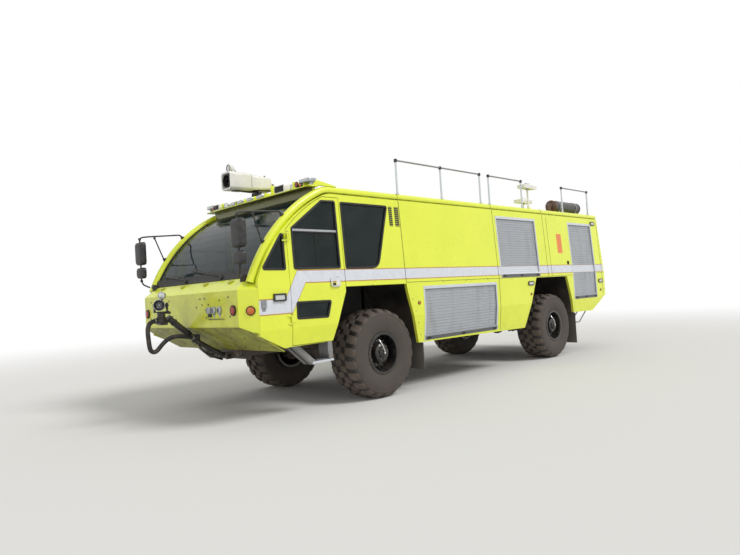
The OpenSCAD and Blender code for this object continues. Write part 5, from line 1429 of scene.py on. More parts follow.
class MakeCab(bpy.types.Operator):
    """Four seats with cushions and pedestals, and what the crew sees of the dashboard"""
    bl_idname = "truck.make_cab"
    bl_label = "Cab interior"

    def execute(self, context):
        for k, (x, y, z) in enumerate(SEATS):
            seat = cushion("seat_cushion_%d" % k, at(x + 15, y, z + 352), (0.49, 0.48, 0.085), 0.16, 0.02,
                           (-0.45, 0.0, 0.45))
            if k == 0:
                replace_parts(seat, "seats")
            cushion("seat_back_%d" % k, at(x - 200, y, z + 690), (0.60, 0.46, 0.075), 0.16, -math.radians(97)
                    + math.pi, (-0.5, -0.1, 0.3))
            cushion("head_rest_%d" % k, at(x - 246, y, z + 1010), (0.080, 0.26, 0.070), 0.20,
                    -math.radians(97) + math.pi, ())
            bm = bmesh.new()
            foot = at(x, y, z + 1)
            turned(bm, [(0, 0), (85, 0), (85, 10), (60, 30), (55, 240), (80, 270), (80, 296), (0, 296)],
                   foot, (0, 0, 1), 32)
            block(bm, at(x - 200, y - 200, z + 292), at(x + 220, y + 200, z + 306), 5)
            slab(bm, [at(x - 238, y - 190, z + 330), at(x - 226, y - 190, z + 330),
                      at(x - 252, y - 190, z + 960), at(x - 264, y - 190, z + 960)], (0, 0.380, 0), 4)
            for dy in (-50, 50):
                sweep(bm, [at(x - 246, y + dy, z + 940), at(x - 250, y + dy, z + 1000)], 6, 10)
            piece("seat_frame_%d" % k, bm, "black_plastic")
        # Instrument hood, screen and a row of switches on the dashboard
        bm = bmesh.new()
        block(bm, at(1660, 360, 1880), at(1760, 700, 1950), 20)
        block(bm, at(1652, -140, 1830), at(1700, 140, 1960), 12)
        for row in range(2):
            for k in range(8):
                block(bm, at(1646 + row, -420 + k * 34, 1780 + row * 44),
                      at(1660 + row, -396 + k * 34, 1806 + row * 44), 3)
        piece("dashboard_panels", bm, "black_plastic")
        return {"FINISHED"}


# Rear face and running gear

def face(y, z, out):
    """Place on the rear face, which leans forwards above the belt, lifted off it by out; in millimetres."""
    lean = 0 if z < 1720 else 80 * (z - 1720) / 1290 * MM
    return Vector((TAIL_X - out * MM + (0.030 + lean), y * MM, z * MM))


class MakeRear(bpy.types.Operator):
    """Grille frame, grab rails, blank plate and reflectors on the rear face"""
    bl_idname = "truck.make_rear"
    bl_label = "Rear fittings"

    def execute(self, context):
        bm = bmesh.new()
        rings = []
        for grow, out in ((-6, -6), (-6, 8), (0, 12), (38, 12), (42, 8), (42, -6)):
            rings.append([face(y, z, out) for y, z in ((-700 - grow, 1420 - grow), (700 + grow, 1420 - grow),
                                                       (700 + grow, 1720), (700 + grow, 2300 + grow),
                                                       (-700 - grow, 2300 + grow), (-700 - grow, 1720))])
        loft(bm, rings, wrap=True)
        piece("rear_grille_frame", bm, "enamel")
        bm = bmesh.new()
        for y in (-900, 900):
            sweep(bm, bent_path([face(y, 1500, -2), face(y, 1500, 26), face(y, 1720, 28), face(y, 2200, 27),
                                 face(y, 2200, -2)], 30), 12.5, 14)
            for z in (1500, 2200):
                turned(bm, [(26, -2), (26, 5), (14, 10)], face(y, z, 0), (-1, 0, 0), 20)
        piece("rear_grab_rails", bm, "rail_tube")
        bm = bmesh.new()
        slab(bm, [face(-260, 1244, 0), face(260, 1244, 0), face(260, 1362, 0), face(-260, 1362, 0)],
             (-0.006, 0, 0), 2)
        piece("number_plate_blank", bm, "white_enamel")
        bm = bmesh.new()
        for y in (-640, -420, 420, 640):
            round_lamp(bm, face(y, 1300, -1), (-1, 0, 0), 30, 12)
        piece("rear_reflectors", bm, ["seal_rubber", "red_lens"])
        bm = bmesh.new()
        for y in (-1200, 1200):
            for z in (1800, 2700):
                slab(bm, [face(y - 40, z, 0), face(y + 40, z, 0), face(y + 40, z + 60, 0),
                          face(y - 40, z + 60, 0)], (-0.020, 0, 0), 6)
        piece("rear_hinges", bm, "enamel")
        bolt = bolt_head(12)
        places = [(face(y, z, 0), (-1, 0, 0)) for y in (-1380, 1380) for z in range(1300, 3000, 240)]
        places += [(face(y, 2356, 0), (-1, 0, 0)) for y in range(-700, 701, 200)]
        on_points("rear_bolts", bolt, places, "zinc_bolt")
        # Plates that clamp the springs on the axles, and their nuts
        nuts = []
        bm = bmesh.new()
        for x in (FRONT_X, REAR_X):
            for side in (1, -1):
                for dx in (-0.10, 0.10):
                    nuts += [(Vector((x + dx, side * 0.430 + dy, 0.560)), (0, 0, -1))
                             for dy in (-0.045, 0.045)]
                block(bm, (x - 0.13, side * 0.430 - 0.070, 0.560), (x + 0.13, side * 0.430 + 0.070, 0.578), 5)
        piece("axle_clamp_plates", bm, "chassis_enamel")
        on_points("axle_clamp_nuts", bolt, nuts, "zinc_bolt", scale=1.6)
        bpy.data.objects.remove(bolt)
        return {"FINISHED"}


# Mirrors

def off_pillar(z, side, reach):
    """Place ahead of the bent pillar tube at height z, at a distance from its middle line."""
    angle = math.asin((z - PILLAR_Z) / PILLAR_BEND)
    return Vector((PILLAR_X + (PILLAR_BEND + reach) * math.cos(angle), side * TUBE_Y, PILLAR_Z
                   + (PILLAR_BEND + reach) * math.sin(angle)))


def shell(bm, centre, size, radius):
    """Rounded mirror housing that narrows towards its back (+X); size and radius are in millimetres."""
    size = mm(*size)
    rings = []
    for t, shrink in ((-0.5, 0.96), (-0.42, 1.0), (0.05, 0.99), (0.30, 0.93), (0.44, 0.80), (0.50, 0.60)):
        outline = rectangle(-0.5 * size.y, 0.5 * size.y, -0.5 * size.z, 0.5 * size.z, radius * MM, 6)
        shrink_z = 1 - (1 - shrink) * size.y / size.z
        rings.append([centre + Vector((t * size.x, p.x * shrink, p.y * shrink_z)) for p in outline])
    loft(bm, rings)


# Mirrors: height, size of the housing and radius of its corners, width and height of the glass
MIRRORS = [(2420, (90, 250, 360), 50, (212, 322)), (2115, (80, 225, 170), 46, (190, 134))]


class MakeMirrors(bpy.types.Operator):
    """Two mirrors on a tube frame on each side of the cab"""
    bl_idname = "truck.make_mirrors"
    bl_label = "Mirrors"

    def execute(self, context):
        for label, side in SIDES:
            x, y = 2420, side * 1426
            bm = bmesh.new()
            sweep(bm, bent_path([off_pillar(2.640, side, TUBE_R), off_pillar(2.640, side, 0.12),
                                 at(x - 110, y, 2690), at(x, y, 2672), at(x, y, 1940),
                                 at(x - 60, side * 1280, 1880)], 90), 12, 14)
            joint = off_pillar(2.640, side, 0.09) * 0.35 + at(x, y, 2650) * 0.65
            sweep(bm, [off_pillar(2.290, side, TUBE_R), off_pillar(2.290, side, 0.082), joint], 10, 12)
            turned(bm, [(0, -21), (15, -15), (21, 0), (15, 15), (0, 21)], joint, (0, 0, 1), 16)
            for z in (2.640, 2.290):
                turned(bm, [(30, -4), (30, 10), (20, 18), (16, 34), (0, 34)], off_pillar(z, side, TUBE_R),
                       off_pillar(z, side, 1) - off_pillar(z, side, 0), 20)
            for z in (2650, 2460, 2160, 1990):
                turned(bm, [(12, -18), (21, -16), (21, 16), (12, 18)], at(x, y, z), (0, 0, 1), 16)
            # Bracket on the nose
            foot = at(2262, side * 1270, 1866)
            turned(bm, [(0, -75), (42, -72), (44, 0), (36, 12), (30, 30), (0, 34)], foot, (0.1, 0, 1), 20)
            turned(bm, [(30, -50), (36, -40), (36, 30), (26, 40), (0, 40)], foot + mm(20, 0, 14),
                   (1, 0, 0.3), 20)
            turned(bm, [(20, -45), (26, -40), (26, 40), (0, 45)], foot + mm(20, 0, -20), (0, 1, 0.2), 16)
            frame = piece("mirror_frame_" + label, bm, "black_plastic")
            if side > 0:
                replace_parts(frame, "mirrors")
            bm = bmesh.new()
            for z, size, radius, _ in MIRRORS:
                shell(bm, at(x, y, z), size, radius)
            piece("mirror_shells_" + label, bm, "black_plastic")
            bm = bmesh.new()
            for z, size, _, (w, h) in MIRRORS:
                outline = rectangle(-w / 2, w / 2, -h / 2, h / 2, 34, 5)
                loft(bm, [[at(x - size[0] / 2 - 1, y, z) + mm(dx, p.x * k, p.y * k) for p in outline]
                          for dx, k in ((4, 1.0), (-3, 1.0), (-4, 0.97))])
            piece("mirror_glass_" + label, bm, "mirror_glass", angle=20)
        return {"FINISHED"}


# Light bar across the brow

# Back edge and top of the shelf, and half its length, in millimetres
BROW_X = 1078
BROW_Z = TUBE_Z / MM + 42
SHELF_Y = TUBE_Y / MM + 20
# Angle brackets between the lamps: place across and height
BROW_BRACKETS = [(-1180, 70), (-940, 96), (-515, 66), (-265, 66), (10, 66), (300, 66), (470, 150),
                 (1010, 108), (1250, 90)]


def on_brow(x, y, z):
    """Place counted from the back edge and the top of the brow shelf, in millimetres."""
    return at(BROW_X + x, y, BROW_Z + z)


def brow_box(bm, y, half, x0, x1, z0, z1, edge, finish=0):
    """Box on the brow shelf that reaches half its width to either side of y."""
    block(bm, on_brow(x0, y - half, z0), on_brow(x1, y + half, z1), edge, finish=finish)


class MakeLightBar(bpy.types.Operator):
    """Brow shelf with its brackets, strobes, scene lamps and sounders"""
    bl_idname = "truck.make_light_bar"
    bl_label = "Light bar"

    def execute(self, context):
        bm = bmesh.new()
        section = [(0, -5), (146, -5), (158, 4), (156, 16), (0, 16)]
        slab(bm, [on_brow(x, -SHELF_Y, z) for x, z in section], (0, 2 * SHELF_Y * MM, 0), 3)
        for side in (1, -1):
            outline = [(0, 16), (90, 16), (25, 92), (-332, 26), (-336, 14), (0, 14)]
            slab(bm, [on_brow(x, side * (SHELF_Y - 30), z) for x, z in outline], (0, side * 0.028, 0), 3)
        for y, high in BROW_BRACKETS:
            brow_box(bm, y, 5, 28, 138, 12, 14 + high, 2)
            brow_box(bm, y, 24, 28, 140, 12, 30, 2)
        shelf = piece("brow_shelf", bm, "enamel")
        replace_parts(shelf, "light_bar")
        bolt = bolt_head(15)
        places = [(on_brow(76, y, -5), (0, 0, -1)) for y in range(-1250, 1300, 250)]
        on_points("brow_bolts", bolt, places, "zinc_bolt")
        bpy.data.objects.remove(bolt)
        # Sounders and scene lamps with dark grilles in pale cases
        for name, y, half, high in (("right", -1095, 95, 110), ("left", 700, 125, 126)):
            bm = bmesh.new()
            brow_box(bm, y, half, 30, 156, 14, high, 10)
            brow_box(bm, y, half - 6, 152, 166, high - 16, high - 4, 3)
            piece("sounder_case_" + name, bm, "white_enamel")
            bm = bmesh.new()
            for k in range(7):
                z = 30 + k * (high - 54) / 6
                brow_box(bm, y, half - 18, 154, 163, z - 4, z + 3, 1.5)
            brow_box(bm, y, half - 16, 150, 157, 24, high - 14, 2)
            piece("sounder_grille_" + name, bm, "grille_black")
        # Flat strobe heads in the middle
        for k, y in enumerate((-600, -390, -120, 150)):
            bm = bmesh.new()
            brow_box(bm, y, 75, 40, 138, 14, 76, 8)
            brow_box(bm, y, 64, 100, 150, 24, 66, 8, finish=1)
            piece("strobe_%d" % k, bm, ["aluminium", "clear_lens"])
        # Domed lamps beside the sounders
        for name, y in (("right", -860), ("left", 960)):
            bm = bmesh.new()
            centre = on_brow(76, y, 16)
            turned(bm, [(66, 0), (68, 10), (60, 14)], centre, (0, 0, 1), 28)
            turned(bm, [(60, 10), (60, 62), (50, 84), (28, 94), (0, 96)], centre, (0, 0, 1), 28, finish=1)
            piece("dome_lamp_" + name, bm, ["lining", "clear_lens"])
        # Long clear lamps in bright frames above the shelf's ends, and the round ones beside them
        for name, side in SIDES:
            bm = bmesh.new()
            middle_y = side * 1286
            brow_box(bm, middle_y, 116, 20, 154, 62, 120, 10)
            for y in (middle_y - 76, middle_y + 76):
                brow_box(bm, y, 20, 44, 110, 14, 64, 3)
            brow_box(bm, middle_y, 106, 146, 162, 70, 112, 8, finish=1)
            piece("end_lamp_" + name, bm, ["aluminium", "clear_lens"])
            for y, radius, rise, lens in ((1110, 34, 66, "red_lens" if side > 0 else "amber_lens"),
                                          (1196, 26, 40, "amber_lens")):
                bm = bmesh.new()
                round_lamp(bm, on_brow(142, side * y, rise), (1, 0, 0), radius, 18)
                brow_box(bm, side * y, 20, 40, 142, 14, rise, 4)
                piece("brow_marker_%s_%d" % (name, y), bm, ["seal_rubber", lens])
        return {"FINISHED"}


# Roof turret

def housing_ring(x, half_y, half_z, radius):
    """Rounded rectangle across the turret at a distance from its tilting axis, in millimetres."""
    outline = rectangle(-half_y, half_y, -half_z, half_z, radius, 6)
    return [TURRET + mm(x, p.x, p.y) for p in outline]


class MakeTurret(bpy.types.Operator):
    """White two-part turret housing on its black swivel, with the nozzle and a search lamp"""
    bl_idname = "truck.make_turret"
    bl_label = "Roof turret"

    def execute(self, context):
        bm = bmesh.new()
        loft(bm, [housing_ring(*row) for row in (
            (452, 112, 112, 40), (550, 114, 114, 40), (556, 120, 120, 44), (554, 138, 138, 50),
            (542, 143, 143, 52), (175, 137, 132, 50), (168, 132, 127, 50), (160, 126, 122, 50))])
        front = piece("turret_front_housing", bm, "white_enamel", "turret")
        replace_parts(front, "turret")
        bm = bmesh.new()
        loft(bm,
             [housing_ring(*row)
              for row in ((176, 124, 119, 48), (166, 132, 126, 50), (158, 136, 130, 52), (-120, 124, 112, 50),
                          (-218, 114, 100, 50), (-230, 106, 92, 48), (-232, 90, 78, 42))])
        piece("turret_rear_housing", bm, "white_enamel", "turret")
        bm = bmesh.new()
        sweep(bm, housing_ring(168, 131, 126, 50), 4, 8, closed=True)
        piece("turret_joint", bm, "seal_rubber", "turret")
        bm = bmesh.new()
        turned(bm, [(98, 452), (102, 548), (94, 552), (88, 532), (80, 472), (44, 462), (44, 512), (34, 518),
                    (34, 457), (0, 457)], TURRET, (1, 0, 0), 40)
        # Black belly pan under the rear half, and a small knob on top
        block(bm, TURRET + mm(-225, -105, -128), TURRET + mm(150, 105, -98), 14)
        turned(bm, [(10, 0), (10, 12), (16, 16), (14, 30), (0, 32)], TURRET + mm(-150, 30, 108), (0, 0, 1),
               16)
        for k in range(4):
            a = math.pi * (k / 2 + 0.25)
            y, z = math.cos(a) * 64, math.sin(a) * 64
            block(bm, TURRET + mm(467, y - 4, z - 30), TURRET + mm(522, y + 4, z + 30), 1,
                  Matrix.Rotation(a - math.pi / 2, 3, "X"))
        piece("turret_nozzle", bm, "casting", "turret")
        # Pipe, valve and stub behind and below the housing
        bm = bmesh.new()
        turned(bm, [(55, -20), (55, 50), (36, 60), (36, 110), (0, 110)], TURRET + mm(-218, 0, -20),
               (-1, 0, 0.1), 24)
        sweep(bm, bent_path([TURRET + mm(20, 0, -110), TURRET + mm(100, 0, -136), TURRET + mm(360, 0, -128)],
                            50), 24, 14)
        block(bm, TURRET + mm(300, -50, -152), TURRET + mm(440, 50, -128), 6)
        turned(bm, [(30, -62), (34, -58), (34, 58), (30, 62)], TURRET + mm(0, 0, -160), (0, 1, 0), 24)
        turned(bm, [(16, -110), (22, -108), (22, -104), (15.8, -103), (15.8, 103), (22, 104), (22, 108),
                    (16, 110)], TURRET + mm(0, 0, -160), (0, 1, 0), 24)
        block(bm, TURRET + mm(-34, -56, -158), TURRET + mm(34, 56, -112), 6)
        piece("turret_underside", bm, "casting", "turret")
        # Search lamp on top of the front end
        bm = bmesh.new()
        lamp = TURRET + mm(426, 40, 195)
        turned(bm, [(0, 0), (30, 4), (50, 28), (56, 60), (57, 94), (50, 98)], lamp, (1, 0, 0), 32)
        block(bm, lamp + mm(30, -12, -82), lamp + mm(70, 12, -30), 4)
        for y in (-61, 53):
            block(bm, lamp + mm(34, y, -60), lamp + mm(62, y + 8, 10), 2)
        block(bm, lamp + mm(34, -61, -66), lamp + mm(62, 61, -58), 2)
        piece("search_lamp_case", bm, "white_enamel", "turret")
        bm = bmesh.new()
        turned(bm, [(56, 86), (57.5, 100), (52, 104), (51, 94)], lamp, (1, 0, 0), 32)
        sweep(bm, bent_path([lamp + mm(10, 0, -10), lamp + mm(-30, 0, -30), lamp + mm(-50, 10, -86)], 30), 6,
              8)
        piece("search_lamp_ring", bm, "black_plastic", "turret")
        bm = bmesh.new()
        turned(bm, [(51.5, 90), (44, 98), (0, 103)], lamp, (1, 0, 0), 32)
        turned(bm, [(51.5, 88), (0, 88)], lamp, (1, 0, 0), 32)
        piece("search_lamp_lens", bm, "clear_lens", "turret")
        # Swivel: base ring with bolts and two ears
        bm = bmesh.new()
        foot = Vector((TURRET.x, TURRET.y, 3.1803))
        turned(bm, [(0, 0), (110, 0), (112, 4), (112, 18), (108, 22), (88, 24), (85, 30), (85, 40), (80, 45),
                    (0, 45)], foot, (0, 0, 1), 48)
        for side in (1, -1):
            y = side * 90
            outline = [foot + mm(x, y - 13, z) for x, z in ((-46, 20), (46, 20), (30, 85))]
            outline += [TURRET + mm(math.cos(t) * 29.5, y - 13, math.sin(t) * 29.5 - 160)
                        for t in (math.pi * k / 10 for k in range(11))]
            outline.append(foot + mm(-30, y - 13, 85))
            slab(bm, outline, (0, 0.026, 0), 3)
        swivel = piece("turret_yoke", bm, "casting", "turret_swivel")
        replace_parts(swivel, "turret_swivel")
        bolt = bolt_head(12)
        places = ring_of_points(foot + mm(0, 0, 22.5), (0, 0, 1), 0.099, 10, 0.3)
        on_points("turret_yoke_bolts", bolt, places, "zinc_bolt", "turret_swivel")
        bpy.data.objects.remove(bolt)
        return {"FINISHED"}


# Bumper monitor

class MakeMonitor(bpy.types.Operator):
    """Bumper monitor: boom with links, valve body, nozzle and lamp"""
    bl_idname = "truck.make_monitor"
    bl_label = "Bumper monitor"

    def execute(self, context):
        pin = Vector((SWIVEL_X, 0, MONITOR_Z))
        way, up = Vector((1, 0, 0)), Vector((0, 0, 1))
        bm = bmesh.new()
        # Barrel with its collar and tilting pin
        turned(bm, [(0, -58), (34, -56), (46, -44), (46, 60), (49, 64), (49, 74), (46, 78), (46, 92),
                    (50, 96), (50, 112), (46, 116), (46, 126)], pin, way, 32)
        turned(bm, [(17.8, -92), (17.8, 92)], pin, (0, 1, 0), 24)
        for y in (-94, 94):
            turned(bm, [(0, -2), (25, -1), (25, 6), (0, 8)], pin + mm(0, y, 0), (0, y, 0), 6)
        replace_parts(self.aim("monitor_barrel", bm, "casting", "monitor"), "monitor")
        bm = bmesh.new()
        turned(bm, [(46, 118), (70, 124), (73.5, 132), (73.5, 160), (70, 164), (70, 172), (73.5, 176),
                    (74.5, 216), (71, 222), (65, 222), (61, 214), (58, 156), (0, 154)], pin, way, 48)
        self.aim("nozzle_body", bm, "casting", "monitor")
        bm = bmesh.new()
        # Bright mouth ring, dark ring, cone on its spokes
        turned(bm, [(72.5, 214), (75.5, 217), (75.5, 223), (73.5, 225.8), (69, 225.8), (68.5, 220)], pin, way,
               48)
        turned(bm, [(38, 176), (43, 180), (43, 196), (38, 200), (34, 196)], pin, way, 40)
        turned(bm, [(12, 150), (12, 192), (8, 200), (0, 202)], pin, way, 24)
        for k in range(8):
            a = 2 * math.pi * k / 8 + 0.2
            spoke = Vector((0, math.cos(a), math.sin(a)))
            sweep(bm, [pin + way * 0.186 + spoke * 0.010, pin + way * 0.186 + spoke * 0.039], 3.5, 8)
        self.aim("nozzle_trim", bm, "aluminium", "monitor")
        # Lamp above the nozzle, on its bracket
        bm = bmesh.new()
        lamp = pin + mm(0, 24, 128)
        turned(bm, [(0, -22), (30, -18), (46, 4), (50, 20), (51, 66), (46, 70)], lamp, way, 32)
        for h in (0, 20, 40):
            turned(bm, [(48, h), (51.8, h + 2), (51.8, h + 7), (48, h + 9)], lamp, way, 32)
        block(bm, pin + mm(10, 12, 40), pin + mm(50, 36, 84), 4)
        self.aim("monitor_lamp_case", bm, "black_plastic", "monitor")
        bm = bmesh.new()
        turned(bm, [(50, 62), (51.8, 66), (51.8, 82), (47, 87.5), (44, 82)], lamp, way, 32)
        turned(bm, [(47, 64), (46, 76), (30, 84), (0, 87)], lamp, way, 32, finish=1)
        self.aim("monitor_lamp_lens", bm, ["chrome", "clear_lens"], "monitor")
        # Swivel yoke and its drive, with the drain valve low on the left
        bm = bmesh.new()
        foot = Vector((SWIVEL_X, 0, SWIVEL_Z))
        turned(bm, [(0, -14.7), (52, -14.7), (55, -11), (55, 12), (50, 16), (50, 34), (55, 38), (55, 52),
                    (0, 52)], foot, up, 32)
        block(bm, foot + mm(-45, -92, 50), foot + mm(45, 92, 66), 6)
        for y in (-80, 80):
            outline = [foot + mm(dx, y - 11.5, 56) for dx in (-45, 45)]
            outline += [pin + mm(math.cos(t) * 35.5, y - 11.5, math.sin(t) * 35.5)
                        for t in (math.pi * (k / 10) - 0.2 for k in range(12))]
            slab(bm, outline, (0, 0.023, 0), 3)
            for dx in (-28, 28):
                turned(bm, [(7, -2), (7, 4), (0, 5)], foot + mm(dx, y * 1.148, 66), (0, y, 0), 6)
        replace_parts(self.aim("monitor_yoke", bm, "casting", "monitor_swivel"), "monitor_swivel")
        bm = bmesh.new()
        turned(bm, [(12, 50), (14, 54), (14, 90), (0, 90)], foot + mm(0, 0, 44), (0, 1, 0), 16)
        turned(bm, [(0, -18), (17, -17), (20, -12), (20, 30), (16, 34), (16, 50), (20, 54), (20, 78),
                    (14, 83), (0, 84)], foot + mm(0, 108, 44), way, 20)
        self.aim("monitor_valve", bm, "casting", "monitor_swivel")
        self.boom()
        return {"FINISHED"}

    def aim(self, name, bm, finishes, body):
        """Keep a piece that was made facing forwards, turned to where the monitor points."""
        bmesh.ops.rotate(bm, verts=bm.verts, cent=(SWIVEL_X, 0, 0),
                         matrix=Matrix.Rotation(MONITOR_TURN, 3, "Z"))
        return piece(name, bm, finishes, body)

    def boom(self):
        """Boom tube with its end fittings, lower lever and links"""
        pivot, elbow, tip = at(1850, 0, 800), at(2278, 0, 1048), at(2700, 0, 1420)
        swivel = Vector((SWIVEL_X, 0, SWIVEL_Z))
        bm = bmesh.new()
        turned(bm, [(20, -77), (40, -77), (40, 77), (20, 77)], pivot, (0, 1, 0), 28)
        sweep(bm, [pivot, at(2060, 0, 915), elbow], 33, 20)
        sweep(bm, [at(2262, 0, 1038), tip], 43, 24)
        sweep(bm, [tip + mm(-30, 0, -22), swivel + mm(0, 0, -64)], 35, 18)
        d = (tip - elbow).normalized()
        for share in (0.10, 0.34, 0.80, 0.93):
            turned(bm, [(42, -12), (52, -10), (52, 10), (42, 12)], elbow.lerp(tip, share), d, 24)
        turned(bm, [(0, -88), (58, -86), (60, -80), (60, -22), (56, -15.5), (0, -15.5)],
               swivel, (0, 0, 1), 32)
        turned(bm, [(0, 20), (34, 20), (34, 60), (33.6, 63.4), (0, 63.4)],
               Vector((SWIVEL_X, 0, HOSE_ROUTE[0][2])), (1, 0, 0), 28)
        block(bm, at(2290, -58, 1088), at(2346, 114, 1154), 10)
        for y in (-104, 104):
            turned(bm, [(0, -4), (28, -4), (30, 0), (30, 6), (0, 6)], pivot + mm(0, y, 0), (0, y, 0), 20)
        # Bolted flanges of the swivel and the gear motor on its far side
        for h in (-76, -30):
            turned(bm, [(56, h), (72, h + 1), (73, h + 12), (56, h + 14)], swivel, (0, 0, 1), 32)
        turned(bm, [(0, 50), (40, 52), (44, 60), (44, 120), (38, 128), (38, 165), (30, 172), (0, 174)], swivel
               + mm(-20, 0, -68), (0.15, -1, 0), 28)
        block(bm, swivel + mm(-75, -85, -120), swivel + mm(20, 45, -80), 12)
        made = piece("boom_tube", bm, "casting", "boom")
        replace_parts(made, "boom")
        # Lower lever and its stays, and the clamp that holds the hose
        bm = bmesh.new()
        low = [at(1900, 0, 752), at(2060, 0, 812), at(2200, 0, 905), at(2262, 0, 1000)]
        sweep(bm, bent_path(low, 60), 14, 12)
        for x, z0, z1 in ((1990, 782, 872), (2110, 840, 940)):
            sweep(bm, [at(x, 0, z0), at(x - 20, 0, z1)], 10, 10)
        sweep(bm, bent_path([at(2346, -30, 1120), at(2400, -52, 1140), at(2560, -56, 1270),
                             at(2660, -52, 1362), at(2740, -30, 1385)], 50), 12, 10)
        piece("boom_lever", bm, "casting", "boom")
        bm = bmesh.new()
        turned(bm, [(32.5, -16), (40, -14), (40, 14), (32.5, 16)], at(2392, 81, 1120), (1, 0, 0), 20)
        turned(bm, [(30.5, -10), (37, -8), (37, 8), (30.5, 10)], at(2880, 0, 1384), (1, 0, -0.1), 20)
        block(bm, at(2380, 40, 1112), at(2404, 60, 1128), 3)
        piece("hose_clamps", bm, "zinc_bolt", "boom")


# Roof fittings

RAIL_GROUPS = [(-560, -1680, -2830), (-3120, -4270), (-5950, -7175)]


